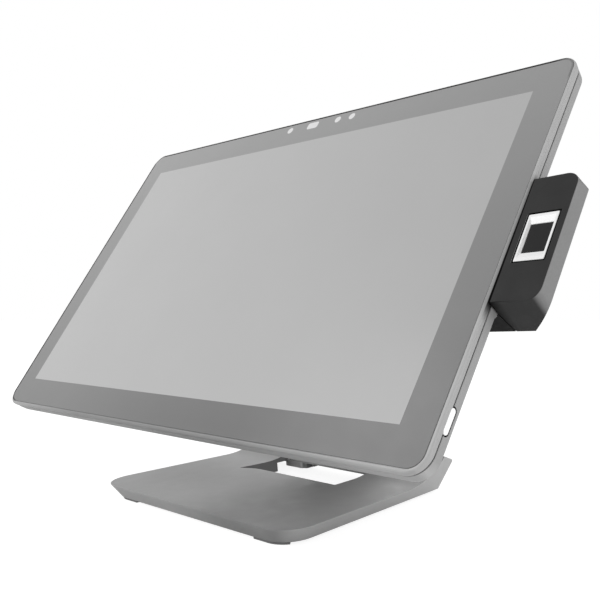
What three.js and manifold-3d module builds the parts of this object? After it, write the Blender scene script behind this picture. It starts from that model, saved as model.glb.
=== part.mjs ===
// Countertop checkout terminal: a wide touch-screen head on a double-hinged arm,
// a bent-plate foot with a cable window, and a fingerprint reader clipped to the
// right edge of the head.
//
// Frame: millimetres, +Z up, +X to the user's right, -Y towards the user.
// Origin: on the table, under the middle of the whole object's outline. The pieces are
// drawn about the middle of the foot's width and then moved there together.
//
// The head is drawn in its own axes and then placed: x = across the screen,
// y = up the screen, z = out of the glass, with z = 0 on the front of the glass
// and the origin at the middle of the picture area.

import * as THREE from 'three';
import { mergeVertices } from 'three/addons/utils/BufferGeometryUtils.js';
import Module from 'manifold-3d';

const wasm = await Module();
wasm.setup();

const DEG = Math.PI / 180;

// ---------------------------------------------------------------- placement
const OUTLINE_MIDDLE = { x: 17.773, y: -5.72 }; // seen from above, from the foot's middle
const LEAN = 35.46 * DEG;                       // screen leans back from upright
const HEAD_PLACE = { y: -20, z: 214 };          // middle of the picture area
const BASE_HINGE = { y: 92, z: 44 };            // pin above the foot's rear lip
const TILT_PIN = { y: 0, z: -56 };              // head pin, in the head's axes

// ------------------------------------------------------------------- hinges
const PIN_R = 4;
const PIN_HOLE_R = PIN_R + 0.02; // in the brackets
const EAR_R = 9;

// x ranges on the right-hand side of a hinge, from half the length of the arm's barrel
const hingeWidths = (barrel) => ({
  barrel,
  washer: [barrel + 0.4, barrel + 3.6],
  ear: [barrel + 4, barrel + 12],
});
const LOWER_HINGE = hingeWidths(36);
const UPPER_HINGE = hingeWidths(30);

// ---------------------------------------------------------------- materials
const MATERIALS = {
  glass: { color: 0x8d8d8f, roughness: 0.28, metalness: 0.0 },
  frame: { color: 0xb3b3b5, roughness: 0.38, metalness: 0.6 },
  shell: { color: 0xa4a4a6, roughness: 0.45, metalness: 0.35 },
  foot: { color: 0x98989a, roughness: 0.5, metalness: 0.4 },
  dark: { color: 0x38383a, roughness: 0.5, metalness: 0.0 },
  black: { color: 0x232325, roughness: 0.35, metalness: 0.0 },
  white: { color: 0xf2f2f2, roughness: 0.35, metalness: 0.0 },
  steel: { color: 0xb9babd, roughness: 0.35, metalness: 0.9 },
  aluminium: { color: 0xc6c7c9, roughness: 0.4, metalness: 0.9 },
  board: { color: 0x1f5a3a, roughness: 0.6, metalness: 0.1 },
  rubber: { color: 0x2a2a2b, roughness: 0.85, metalness: 0.0 },
  brass: { color: 0xb79a55, roughness: 0.35, metalness: 0.9 },
};

// ---------------------------------------------------- solids and their sums
const MERGE_DISTANCE = 1e-4;

// positions only, with coincident vertices joined
const weld = (source) => {
  const bare = source.clone();
  for (const name of Object.keys(bare.attributes)) {
    if (name !== 'position') bare.deleteAttribute(name);
  }
  return mergeVertices(bare, MERGE_DISTANCE);
};

const toSolid = (source) => {
  const welded = weld(source);
  const index = welded.index.array;
  const triangles = [];
  for (let i = 0; i < index.length; i += 3) {
    const corners = [...index.slice(i, i + 3)];
    // welding can collapse thin triangles
    if (new Set(corners).size === 3) triangles.push(...corners);
  }
  return new wasm.Manifold(new wasm.Mesh({
    numProp: 3,
    vertProperties: new Float32Array(welded.attributes.position.array),
    triVerts: new Uint32Array(triangles),
  }));
};

const toGeometry = (body) => {
  const mesh = body.getMesh();
  const positions = new Float32Array(mesh.vertProperties);
  const geometry = new THREE.BufferGeometry();
  geometry.setAttribute('position', new THREE.BufferAttribute(positions, 3));
  geometry.setIndex(Array.from(mesh.triVerts));
  return geometry;
};

const combine = (operation) => (first, ...rest) =>
  toGeometry(rest.reduce((body, next) => body[operation](toSolid(next)), toSolid(first)));
const add = combine('add');
const cut = combine('subtract');
const meet = combine('intersect');

// ------------------------------------------------------------------- ranges
const about = (middle, half) => [middle - half, middle + half];
// a range on the right (side 1), or its mirror image on the left (side -1)
const onSide = (side, [near, far]) => (side > 0 ? [near, far] : [-far, -near]);
const repeat = (count, make) => Array.from({ length: count }, (_, i) => make(i));

// ------------------------------------------------------------ simple shapes
const box = ([x0, x1], [y0, y1], [z0, z1]) =>
  new THREE.BoxGeometry(x1 - x0, y1 - y0, z1 - z0)
    .translate((x0 + x1) / 2, (y0 + y1) / 2, (z0 + z1) / 2);

// round bars along each axis
const barX = (radius, y, z, [x0, x1], segments = 32) =>
  new THREE.CylinderGeometry(radius, radius, x1 - x0, segments)
    .rotateZ(Math.PI / 2).translate((x0 + x1) / 2, y, z);
const barY = (radius, x, z, [y0, y1]) =>
  new THREE.CylinderGeometry(radius, radius, y1 - y0, 16).translate(x, (y0 + y1) / 2, z);
const barZ = (radius, x, y, [z0, z1], segments = 16) =>
  new THREE.CylinderGeometry(radius, radius, z1 - z0, segments)
    .rotateX(Math.PI / 2).translate(x, y, (z0 + z1) / 2);
const barsZ = (radius, places, zRange, segments) =>
  places.map(([x, y]) => barZ(radius, x, y, zRange, segments));

// --------------------------------------------------------- drawn profiles
// start and sweep in degrees
const arc = (x, y, radius, start, sweep, steps) =>
  repeat(steps + 1, (i) => {
    const angle = (start + sweep * i / steps) * DEG;
    return [x + radius * Math.cos(angle), y + radius * Math.sin(angle)];
  });

// steps: divisions in each corner
const roundedRect = (width, height, radius, { x = 0, y = 0, steps = 6 } = {}) =>
  [[1, 1], [-1, 1], [-1, -1], [1, -1]].flatMap(([signX, signY], i) => arc(
    x + signX * (width / 2 - radius), y + signY * (height / 2 - radius), radius, 90 * i, 90, steps));

const shapeOf = (points) => new THREE.Shape(points.map(([x, y]) => new THREE.Vector2(x, y)));
const pullZ = (points, [z0, z1]) =>
  new THREE.ExtrudeGeometry(shapeOf(points), { depth: z1 - z0, bevelEnabled: false, steps: 1 })
    .translate(0, 0, z0);
// a profile of [y, z] points pulled along x
const pullX = (points, xRange) => pullZ(points, xRange)
  .applyMatrix4(new THREE.Matrix4().set(0, 0, 1, 0, 1, 0, 0, 0, 0, 1, 0, 0, 0, 0, 0, 1));
// a profile of [x, z] points pulled along y
const pullY = (points, yRange) => pullZ(points.map(([x, z]) => [z, x]), yRange)
  .applyMatrix4(new THREE.Matrix4().set(0, 1, 0, 0, 0, 0, 1, 0, 1, 0, 0, 0, 0, 0, 0, 1));
const slab = (width, height, radius, zRange, place) =>
  pullZ(roundedRect(width, height, radius, place), zRange);

// a skin through rings of [points, z], all with the same count, closed by flat ends
const loft = (rings) => {
  const count = rings[0][0].length;
  const top = (rings.length - 1) * count;
  const positions = rings.flatMap(([points, z]) => points.flatMap(([x, y]) => [x, y, z]));
  const index = [];
  for (let k = 0; k + 1 < rings.length; k++) {
    for (let i = 0; i < count; i++) {
      const here = k * count + i;
      const next = k * count + (i + 1) % count;
      index.push(here, next, next + count, here, next + count, here + count);
    }
  }
  const outline = rings[0][0].map(([x, y]) => new THREE.Vector2(x, y));
  for (const [i, j, k] of THREE.ShapeUtils.triangulateShape(outline, [])) {
    index.push(i, k, j);
    index.push(top + i, top + j, top + k);
  }
  const geometry = new THREE.BufferGeometry();
  geometry.setAttribute('position', new THREE.Float32BufferAttribute(positions, 3));
  geometry.setIndex(index);
  return geometry.toNonIndexed();
};
// rounded rectangles for a loft; table rows: width, height, corner radius, z
const roundedRings = (table, place) =>
  table.map(([width, height, radius, z]) => [roundedRect(width, height, radius, place), z]);

// ------------------------------------------------------------------- pieces
const addPiece = (group, name, shape, material) => {
  const geometry = weld(shape);
  geometry.computeVertexNormals();
  const mesh = new THREE.Mesh(geometry, new THREE.MeshStandardMaterial(material));
  mesh.name = name;
  group.add(mesh);
};

// numbered screws along z; head and shank each give a radius and a z range
const addScrews = (group, name, places, head, shank) => places.forEach(([x, y], i) => {
  const screw = add(barZ(head.radius, x, y, head.z, 12), barZ(shank.radius, x, y, shank.z, 8));
  addPiece(group, `${name}_${i + 1}`, screw, MATERIALS.steel);
});

// steel hinge pin with a collar outside each ear
const hingePin = ({ y, z }, { ear: [, earOuter] }) => {
  const collar = [earOuter + 0.4, earOuter + 3.4];
  return add(
    barX(PIN_R - 0.03, y, z, about(0, earOuter + 4)),
    barX(5.6, y, z, collar, 24),
    barX(5.6, y, z, onSide(-1, collar), 24));
};

const terminal = new THREE.Group();
terminal.name = 'checkout_terminal';
terminal.position.set(-OUTLINE_MIDDLE.x, -OUTLINE_MIDDLE.y, 0);

// ===================================================================== FOOT
const FOOT = { half: 131.8, front: -100.4, cornerR: 27, top: 15, bottom: 2 };
// the underside is set in at the sides and the front
const UNDER = { half: FOOT.half - 8.4, front: FOOT.front + 6.9, cornerR: 23 };
const SWEEP_Y = 35;                // the flat top ends here and sweeps up to the lip
const LIP_TOP = { y: 90, z: 35.6 };
const LIP_OUTER = { y: 103, z: 30 };
const REAR_WALL_Y = 89;            // the rear wall's lower edge
const CABLE_WINDOW = { x: about(0, 63), y: [12, 64] };
const SLAB_REAR = 48.5;            // full-depth slab ends here, thin plate behind
const PLATE_UNDER = 11.5;
const HOLLOW = { width: 224, depth: 88, y: -40 }; // in the slab, for the weight plate
const SEAT_Z = 28;                 // flat under the hinge brackets
const REAR_FOOT_X = 65;
const COVER_SCREWS = [[-96, -70], [96, -70], [-96, -10], [96, -10]];            // x, y
const BRACKET_SCREWS = [[-52.5, 86.5], [-52.5, 96], [52.5, 86.5], [52.5, 96]];  // x, y

const base = new THREE.Group();
terminal.add(base);

// Stations from front to rear. Each holds the right-hand end of a top line and of the
// line under it; the sides run straight between the two.
const footStations = () => {
  const corner = ({ half, front, cornerR }, z) =>
    arc(half - cornerR, front + cornerR, cornerR, 270, 90, 8).map(([x, y]) => [x, y, z]);
  const underCorner = corner(UNDER, FOOT.bottom);
  const stations = corner(FOOT, FOOT.top).map((top, i) => [top, underCorner[i]]);

  const rise = LIP_TOP.z - FOOT.top;
  const run = LIP_TOP.y - SWEEP_Y;
  const radius = (run ** 2 + rise ** 2) / (2 * rise);
  for (let i = 0; i <= 9; i++) {
    const y = SWEEP_Y + run * i / 9;
    const z = FOOT.top + radius - Math.sqrt(radius ** 2 - (y - SWEEP_Y) ** 2);
    stations.push([[FOOT.half, y, z], [UNDER.half, Math.min(y, REAR_WALL_Y - 1), FOOT.bottom]]);
  }
  stations.push([
    [FOOT.half - 0.5, LIP_OUTER.y, LIP_OUTER.z],
    [UNDER.half, REAR_WALL_Y, FOOT.bottom],
  ]);
  return stations;
};

// closed skin over the stations and their mirror images
const footSkin = (stations) => {
  const positions = [];
  const quad = (...corners) => [0, 1, 2, 0, 2, 3].forEach((i) => positions.push(...corners[i]));
  const left = ([x, y, z]) => [-x, y, z];
  for (let k = 0; k + 1 < stations.length; k++) {
    const [top, under] = stations[k];
    const [nextTop, nextUnder] = stations[k + 1];
    quad(left(top), top, nextTop, left(nextTop));
    quad(under, left(under), left(nextUnder), nextUnder);
    quad(under, nextUnder, nextTop, top);
    quad(left(nextUnder), left(under), left(top), left(nextTop));
  }
  const [frontTop, frontUnder] = stations[0];
  const [rearTop, rearUnder] = stations[stations.length - 1];
  quad(left(frontUnder), frontUnder, frontTop, left(frontTop));
  quad(rearUnder, left(rearUnder), left(rearTop), rearTop);
  const geometry = new THREE.BufferGeometry();
  geometry.setAttribute('position', new THREE.Float32BufferAttribute(positions, 3));
  return geometry;
};

const basePlate = () => {
  // hollow under the lip: y, z
  const lipHollow = [
    [SLAB_REAR + 10, PLATE_UNDER - 1], [68, PLATE_UNDER - 1], [84, PLATE_UNDER - 1],
    [93.5, 27.5], [86, 27.5], [72, 16.5], [60, 12.5],
  ];
  // everything behind the rear wall: y, z
  const behindWall = [
    [REAR_WALL_Y, FOOT.bottom], [LIP_OUTER.y, LIP_OUTER.z], [LIP_OUTER.y, 60], [130, 60],
    [130, -5], [REAR_WALL_Y - 0.5, -5], [REAR_WALL_Y - 0.5, FOOT.bottom],
  ];
  const rearBoss = (x) => slab(30, 17, 4, [FOOT.bottom, 14], { x, y: 86.2, steps: 3 });

  let foot = footSkin(footStations());
  foot = cut(foot, box(CABLE_WINDOW.x, CABLE_WINDOW.y, [0, 60]));
  foot = cut(foot, slab(HOLLOW.width, HOLLOW.depth, 16, [0, 11], { y: HOLLOW.y }));
  // thin plate behind the slab
  foot = cut(foot, box(about(0, 117), [SLAB_REAR, 84], [0, PLATE_UNDER]));
  foot = cut(foot, pullX(lipHollow, [62, 116]), pullX(lipHollow, [-116, -62]));
  // cable opening through the rear wall
  foot = cut(foot, box(about(0, 46), [60, 110], [0, PLATE_UNDER]));
  // seat for the hinge brackets
  foot = cut(foot, box(about(0, 58), [74, 110], [SEAT_Z, 60]));
  foot = add(foot, rearBoss(-REAR_FOOT_X), rearBoss(REAR_FOOT_X));
  // trim the bosses to the rear wall
  foot = cut(foot, pullX(behindWall, about(0, 140)));
  // bosses and holes for the cover screws, then the bracket screw holes
  foot = add(foot, ...barsZ(5, COVER_SCREWS, [4.2, 11.5]));
  foot = cut(foot, ...barsZ(1.6, COVER_SCREWS, [3, 10.4]));
  return cut(foot, ...barsZ(1.7, BRACKET_SCREWS, [20, 30]));
};
addPiece(base, 'base_plate', basePlate(), MATERIALS.foot);

// steel weight inside the slab
const ballastPlate = () => cut(
  slab(HOLLOW.width - 8, HOLLOW.depth - 8, 12, [4.4, 10.6], { y: HOLLOW.y }),
  ...barsZ(6, COVER_SCREWS, [3, 12], 20));
addPiece(base, 'ballast_plate', ballastPlate(), MATERIALS.steel);

// cover under the slab
const bottomCover = () => cut(
  slab(HOLLOW.width - 1, HOLLOW.depth - 1, 15.5, [2.2, 3.9], { y: HOLLOW.y }),
  ...barsZ(1.9, COVER_SCREWS, [1, 5]));
addPiece(base, 'bottom_cover', bottomCover(), MATERIALS.dark);
addScrews(base, 'bottom_cover_screw', COVER_SCREWS,
  { radius: 3.1, z: [0.9, 1.9] }, { radius: 1.3, z: [1.5, 9.5] });

// rubber feet: the front ones follow the slab's corners, the rear ones sit under bosses
const RUBBER_Z = [0, 1.8];
const frontFoot = (side) => {
  const width = 11;
  const tail = 17; // straight length before the corner
  const outerR = UNDER.cornerR - 0.8;
  const x = UNDER.half - UNDER.cornerR;
  const y = UNDER.front + UNDER.cornerR;
  const points = [
    [x - tail, y - outerR],
    ...arc(x, y, outerR, 270, 48, 6),
    ...arc(x, y, outerR - width, 270, 48, 6).reverse(),
    [x - tail, y - outerR + width],
  ];
  return pullZ(points.map(([px, py]) => [side * px, py]), RUBBER_Z);
};
const rearFoot = (side) =>
  slab(24, 12, 3, RUBBER_Z, { x: side * REAR_FOOT_X, y: 85, steps: 4 });

// lower hinge bracket: a round-topped ear on a flat screwed to the seat
const lowerBracket = (side) => {
  const { y, z } = BASE_HINGE;
  const earX = onSide(side, LOWER_HINGE.ear);
  const flatX = onSide(side, [LOWER_HINGE.ear[0], 56.5]);
  const under = SEAT_Z + 0.3;
  const rear = y + 8.6;
  const body = add(
    barX(EAR_R, y, z, earX),
    box(earX, [y - EAR_R, rear], [under, z]),
    box(flatX, [y - 10, rear], [under, under + 4]));
  const screws = BRACKET_SCREWS.filter(([x]) => x * side > 0);
  return cut(body, barX(PIN_HOLE_R, y, z, about(0, 60)), ...barsZ(1.9, screws, [20, 40]));
};

for (const [side, word] of [[-1, 'left'], [1, 'right']]) {
  addPiece(base, `foot_front_${word}`, frontFoot(side), MATERIALS.rubber);
  addPiece(base, `foot_rear_${word}`, rearFoot(side), MATERIALS.rubber);
  addPiece(base, `lower_hinge_bracket_${word}`, lowerBracket(side), MATERIALS.steel);
}
addPiece(base, 'lower_hinge_pin', hingePin(BASE_HINGE, LOWER_HINGE), MATERIALS.steel);
addScrews(base, 'hinge_bracket_screw', BRACKET_SCREWS,
  { radius: 2.9, z: [SEAT_Z + 4.6, SEAT_Z + 6.6] }, { radius: 1.4, z: [21, 33] });

// ====================================================================== ARM
// Arm axes: origin on the lower pin, z along the arm to the tilt pin, y out of its back.
const tiltPinY = HEAD_PLACE.y + TILT_PIN.y * Math.sin(LEAN) - TILT_PIN.z * Math.cos(LEAN);
const tiltPinZ = HEAD_PLACE.z + TILT_PIN.y * Math.cos(LEAN) + TILT_PIN.z * Math.sin(LEAN);
const ARM_LENGTH = Math.hypot(tiltPinY - BASE_HINGE.y, tiltPinZ - BASE_HINGE.z);

const arm = new THREE.Group();
arm.position.set(0, BASE_HINGE.y, BASE_HINGE.z);
arm.rotation.x = Math.atan2(BASE_HINGE.y - tiltPinY, tiltPinZ - BASE_HINGE.z);
terminal.add(arm);

const supportArm = () => {
  const lower = LOWER_HINGE.barrel;
  const upper = UPPER_HINGE.barrel;
  const outline = [ // x, z
    [-lower, 0], [-lower, 15], [-43, 27],
    [-43, ARM_LENGTH - 29], [-upper, ARM_LENGTH - 17], [-upper, ARM_LENGTH],
    [upper, ARM_LENGTH], [upper, ARM_LENGTH - 17], [43, ARM_LENGTH - 29],
    [43, 27], [lower, 15], [lower, 0],
  ];
  const body = add(
    pullY(outline, about(0, 6.5)),
    barX(9.5, 0, 0, about(0, lower), 40),
    barX(9, 0, ARM_LENGTH, about(0, upper), 40));
  return cut(body,
    barX(PIN_R + 0.06, 0, 0, about(0, 50)),
    barX(PIN_R + 0.06, 0, ARM_LENGTH, about(0, 50)),
    // cable channel, open to the back
    box(about(0, 30), [-2.5, 20], [20, ARM_LENGTH - 20]));
};
addPiece(arm, 'support_arm', supportArm(), MATERIALS.frame);

// cover over the cable channel, with two ribs reaching in
const armCover = () => {
  const top = ARM_LENGTH - 20.4;
  return add(
    box(about(0, 29.6), [3.4, 6.4], [20.4, top]),
    box([-27, -25], [-1.4, 4], [30, top - 10]),
    box([25, 27], [-1.4, 4], [30, top - 10]));
};
addPiece(arm, 'arm_cover', armCover(), MATERIALS.shell);

// cable lying in the channel
const headCable = () => {
  const places = [[6, 26], [9, 52], [-4, 88], [2, ARM_LENGTH - 26]]; // x, z
  const path = new THREE.CatmullRomCurve3(places.map(([x, z]) => new THREE.Vector3(x, 0.2, z)));
  const section = shapeOf(arc(0, 0, 2.3, 0, 360, 10).slice(0, -1));
  return new THREE.ExtrudeGeometry(section, {
    steps: 18,
    extrudePath: path,
    bevelEnabled: false,
  });
};
addPiece(arm, 'head_cable', headCable(), MATERIALS.black);

const washer = (radius, z, [x0, x1]) => cut(
  barX(radius, 0, z, [x0, x1], 28),
  barX(PIN_R + 0.12, 0, z, [x0 - 1, x1 + 1], 28));
for (const [side, word] of [[1, 'right'], [-1, 'left']]) {
  const lower = washer(8, 0, onSide(side, LOWER_HINGE.washer));
  const upper = washer(7.6, ARM_LENGTH, onSide(side, UPPER_HINGE.washer));
  addPiece(arm, `lower_washer_${word}`, lower, MATERIALS.brass);
  addPiece(arm, `upper_washer_${word}`, upper, MATERIALS.brass);
}

// ===================================================================== HEAD
const HEAD = { width: 534, height: 326, radius: 15.5 };
const GLASS = { width: 528, height: 321.5, radius: 11, thickness: 1.8, y: 0.75 };
const GAP = 0.3;           // round the glass and the button tab
const FRAME_BACK = -5;
const COVER_FRONT = FRAME_BACK - 0.3;
const WALL = 2.2;
const EDGE_BACK = -11.5;   // where the rear cover's side wall starts to taper
const EDGE_DRAFT = 1.6;    // the cover's height has shrunk by this much there
const BACK_FLAT = -26;     // thin part of the rear cover
const HOUSING_BACK = -42;  // raised housing in the middle of the back
const HOUSING_Y = -6;
const THROUGH_BACK = [BACK_FLAT - 2, BACK_FLAT + 5];
const THROUGH_HOUSING = [HOUSING_BACK - 2, HOUSING_BACK + 5];
const BUTTON = { y: -125.6, z: -6.7, length: 17.4, width: 5 };
const TAB_HALF = BUTTON.length / 2 + 1.3; // frame tab round the power button
const TAB_BACK = BUTTON.z - BUTTON.width / 2 - 0.9;
const REAR_SCREWS = [[-236, 128], [236, 128], [-236, -128], [236, -128], [0, 134]];    // x, y
const PLATE_SCREWS = [[-37.5, -37.5], [37.5, -37.5], [-37.5, 37.5], [37.5, 37.5]];     // x, y

const head = new THREE.Group();
head.position.set(0, HEAD_PLACE.y, HEAD_PLACE.z);
head.rotation.x = Math.PI / 2 - LEAN;
terminal.add(head);

// glass outline, grown all round
const glassSlab = (grow, zRange) => slab(
  GLASS.width + 2 * grow, GLASS.height + 2 * grow, GLASS.radius + grow, zRange,
  { y: GLASS.y, steps: 8 });
addPiece(head, 'cover_glass', glassSlab(0, [-GLASS.thickness, 0]), MATERIALS.glass);

// power button outline, grown all round and pulled along x
const buttonBar = (grow, xRange) => {
  const width = BUTTON.width + 2 * grow;
  const place = { x: BUTTON.y, y: BUTTON.z, steps: 5 };
  return pullX(roundedRect(BUTTON.length + 2 * grow, width, width / 2 - 0.01, place), xRange);
};

// outer band, glass ledge, and the tab that carries the power button
const frontFrame = () => {
  let frame = add(
    slab(HEAD.width, HEAD.height, HEAD.radius, [FRAME_BACK, -0.15], { steps: 8 }),
    box([264, 266.9], about(BUTTON.y, TAB_HALF), [TAB_BACK, FRAME_BACK + 1]));
  frame = cut(frame,
    slab(520, 311, 8, [FRAME_BACK - 1, 1], { steps: 8 }),
    glassSlab(GAP, [-GLASS.thickness - GAP, 1]));
  // hole for the button and room for its board
  return cut(frame,
    buttonBar(0.2, [258, 270]),
    box([250, 264], about(BUTTON.y, 12), [-14, -3.6]));
};
addPiece(head, 'front_frame', frontFrame(), MATERIALS.frame);

// rear cover's outside, back to front: width, height, corner radius, z
const coverRings = roundedRings([
  [494, 286, 10, BACK_FLAT],
  [502, 294, 11, BACK_FLAT + 1.6],
  [522, 312, 13.5, -18.5],
  [530.5, 319.5, 15, -14.2],
  [HEAD.width, HEAD.height - EDGE_DRAFT, HEAD.radius, EDGE_BACK],
  [HEAD.width, HEAD.height, HEAD.radius, COVER_FRONT],
], { steps: 8 });

const coverInside = () => {
  const width = HEAD.width - 2 * WALL;
  const height = HEAD.height - 2 * WALL;
  const radius = HEAD.radius - WALL;
  return loft(roundedRings([
    [494 - 4, 286 - 4, 9, BACK_FLAT + WALL],
    [522 - 2 * WALL - 1.6, 312 - 2 * WALL - 1.6, 11.5, -17.6],
    [width, height - EDGE_DRAFT, radius, EDGE_BACK + 0.4],
    [width, height, radius, FRAME_BACK + 2],
  ], { steps: 8 }));
};

const housingOutside = () => loft(roundedRings([
  [352, 178, 16, HOUSING_BACK],
  [360, 186, 19, HOUSING_BACK + 1.4],
  [384, 210, 26, BACK_FLAT + 1],
], { y: HOUSING_Y }));

const housingInside = () => loft(roundedRings([
  [352 - 3, 178 - 3, 15, HOUSING_BACK + WALL],
  [384 - 2 * WALL - 2, 210 - 2 * WALL - 2, 24, BACK_FLAT + 3],
], { y: HOUSING_Y }));

const rearCover = () => {
  const highSlots = repeat(15, (i) => box(about(-112 + i * 16, 2), [52, 74], THROUGH_HOUSING));
  const lowSlots = repeat(9, (i) => box(about(-150 + i * 7, 1.6), [-70, -36], THROUGH_HOUSING));
  const speakerSlots = [-1, 1].flatMap((side) =>
    repeat(6, (i) => box(about(side * 215, 12), about(-112 + i * 5, 1), THROUGH_BACK)));

  let rear = add(loft(coverRings), housingOutside());
  rear = cut(rear, coverInside(), housingInside());
  // notch round the power button tab
  rear = cut(rear, box([260, 270], about(BUTTON.y, TAB_HALF + GAP), [TAB_BACK - GAP, 0]));
  rear = cut(rear, ...highSlots, ...lowSlots);
  rear = cut(rear, ...speakerSlots);
  // opening in the housing's lower wall for the connectors
  rear = cut(rear, box(about(0, 70), [HOUSING_Y - 120, HOUSING_Y - 88], [-38, -29.5]));
  rear = cut(rear, ...barsZ(1.9, REAR_SCREWS, THROUGH_BACK));
  rear = cut(rear, ...barsZ(2.3, PLATE_SCREWS, THROUGH_HOUSING));
  // cable hole below the head bracket
  return cut(rear, slab(26, 12, 5, THROUGH_HOUSING, { y: -60, steps: 4 }));
};
addPiece(head, 'rear_cover', rearCover(), MATERIALS.shell);

// ------------------------------------------------------------ display stack
const backlight = () => cut(
  box(about(0, 244), about(0, 141), [-10.6, -4]),
  box(about(0, 200), about(0, 100), [-11, -9.6]));

// plate with three openings, screw bosses, and posts to the head bracket's screws
const chassisPlate = () => {
  const front = -11.4; // bosses and posts run into the plate up to here
  let chassis = cut(
    slab(506, 298, 8, [-12.4, -11.2], { steps: 3 }),
    slab(80, 40, 8, [-14, -10], { x: 150, y: 90, steps: 3 }),
    slab(80, 40, 8, [-14, -10], { x: -150, y: 90, steps: 3 }),
    slab(60, 30, 8, [-14, -10], { y: -115, steps: 3 }));
  chassis = add(chassis, ...barsZ(4, REAR_SCREWS, [-16, front]));
  chassis = cut(chassis, ...barsZ(1.7, REAR_SCREWS, [-18, -12.6]));
  chassis = add(chassis, ...barsZ(5.5, PLATE_SCREWS, [HOUSING_BACK + WALL + 0.4, front]));
  return cut(chassis, ...barsZ(2, PLATE_SCREWS, [HOUSING_BACK, -28]));
};
addPiece(head, 'lcd_cell', box(about(0, 241), about(0, 137), [-3.7, -2.1]), MATERIALS.black);
addPiece(head, 'backlight_unit', backlight(), MATERIALS.aluminium);
addPiece(head, 'chassis_plate', chassisPlate(), MATERIALS.steel);

// --------------------------------------- electronics behind the chassis plate
const mainboard = () => add(
  box([-150, -46], [-84, 66], [-19.4, -17.8]),
  box([-70, -50], [-60, -20], [-23, -19]),
  box([-140, -120], [20, 58], [-22, -19]),
  box([-100, -84], [40, 56], [-20.6, -19]));

const heatsink = () => {
  const fin = { count: 8, left: -118, pitch: 6, width: 1.5 };
  const right = fin.left + (fin.count - 1) * fin.pitch + fin.width;
  const yRange = [-52, 0];
  const fins = repeat(fin.count, (i) => {
    const x = fin.left + i * fin.pitch;
    return box([x, x + fin.width], yRange, [-34, -23.5]);
  });
  return add(box([fin.left, right], yRange, [-24, -20.2]), ...fins);
};

const BLOWER = { x: 84, y: -44 }; // the wheel's axis

// scroll housing, open at the back and at the top of its outlet
const blowerHousing = () => {
  const { x, y } = BLOWER;
  const outerR = 27;
  const innerR = 24.5;
  const shell = cut(
    add(barZ(outerR, x, y, [-36, -21], 40), box([x, x + outerR], [y, y + 36], [-36, -21])),
    barZ(innerR, x, y, [-37, -22.6], 40),
    box([x + 4, x + innerR], [y, y + 40], [-34.4, -22.6]));
  return add(shell, barZ(2.4, x, y, [-28, -22], 20));
};

const blowerWheel = () => {
  const { x, y } = BLOWER;
  const count = 11;
  const blades = repeat(count, (i) => box([7.5, 22], about(0, 0.7), [-35, -25.5])
    .rotateZ(2 * Math.PI * i / count + 0.1)
    .translate(x, y, 0));
  let wheel = add(barZ(9, x, y, [-35, -25], 28), barZ(22.6, x, y, [-26.4, -25], 36));
  wheel = add(wheel, ...blades);
  return cut(wheel, barZ(2.8, x, y, [-29, -24], 20));
};

const powerBoard = () => add(
  box([50, 160], [8, 70], [-18.4, -16.8]),
  box([58, 78], [16, 40], [-32, -18]),
  box([84, 100], [16, 60], [-27, -18]),
  ...barsZ(6, [[118, 32], [134, 32]], [-30, -18]));

const speaker = (side) => cut(
  box(about(side * 215, 22), [-120, -84], [-22.4, -14]),
  barZ(12, side * 215, -102, [-23, -18], 24));

addPiece(head, 'mainboard', mainboard(), MATERIALS.board);
addPiece(head, 'heatsink', heatsink(), MATERIALS.aluminium);
addPiece(head, 'blower_housing', blowerHousing(), MATERIALS.black);
addPiece(head, 'blower_wheel', blowerWheel(), MATERIALS.dark);
addPiece(head, 'storage_drive', box([-29, 29], [-84, 6], [-27, -20]), MATERIALS.aluminium);
addPiece(head, 'power_board', powerBoard(), MATERIALS.board);
addPiece(head, 'speaker_left', speaker(-1), MATERIALS.black);
addPiece(head, 'speaker_right', speaker(1), MATERIALS.black);

// ------------------------------------------ sensor bar behind the top border
const SENSOR_BAR_Y = 152;
const SENSOR_BAR_Z = [-4.6, -2.2];
const barSensor = (radius, x, segments) => barZ(radius, x, SENSOR_BAR_Y, SENSOR_BAR_Z, segments);
const lightSensor = box([-6.5, 4.9], about(SENSOR_BAR_Y, 2.3), SENSOR_BAR_Z);
addPiece(head, 'sensor_board', box([-44, 62], [146, 155], [-5.9, -4.9]), MATERIALS.board);
addPiece(head, 'camera_barrel_left', barSensor(3.2, -32, 20), MATERIALS.black);
addPiece(head, 'camera_barrel_right', barSensor(3.2, 31.7, 20), MATERIALS.black);
addPiece(head, 'light_sensor', lightSensor, MATERIALS.dark);
addPiece(head, 'status_lamp', barSensor(2.4, 49.3, 16), MATERIALS.white);

// --------------------------------- connectors at the bottom of the housing
const SMALL_PORTS = [-52, -34, -16];  // x of three alike
const WIDE_PORT = 12;
const END_PORT = 37;
const ROUND_PORT = { x: 57, z: -33.8 };
// y range given from the middle of the housing
const portY = (from, to) => [HOUSING_Y + from, HOUSING_Y + to];
const roundPort = (radius, yRange) => barY(radius, ROUND_PORT.x, ROUND_PORT.z, yRange);

const portPanel = () => {
  const through = portY(-95, -85);
  return cut(
    box(about(0, 69.5), portY(-92, -88.6), [-37.6, -29.9]),
    ...SMALL_PORTS.map((x) => box(about(x, 6.8), through, [-36.2, -30.2])),
    box(about(WIDE_PORT, 8), through, [-37, -30.2]),
    box(about(END_PORT, 7), through, [-36.2, -30.2]),
    roundPort(3.2, through));
};

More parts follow.
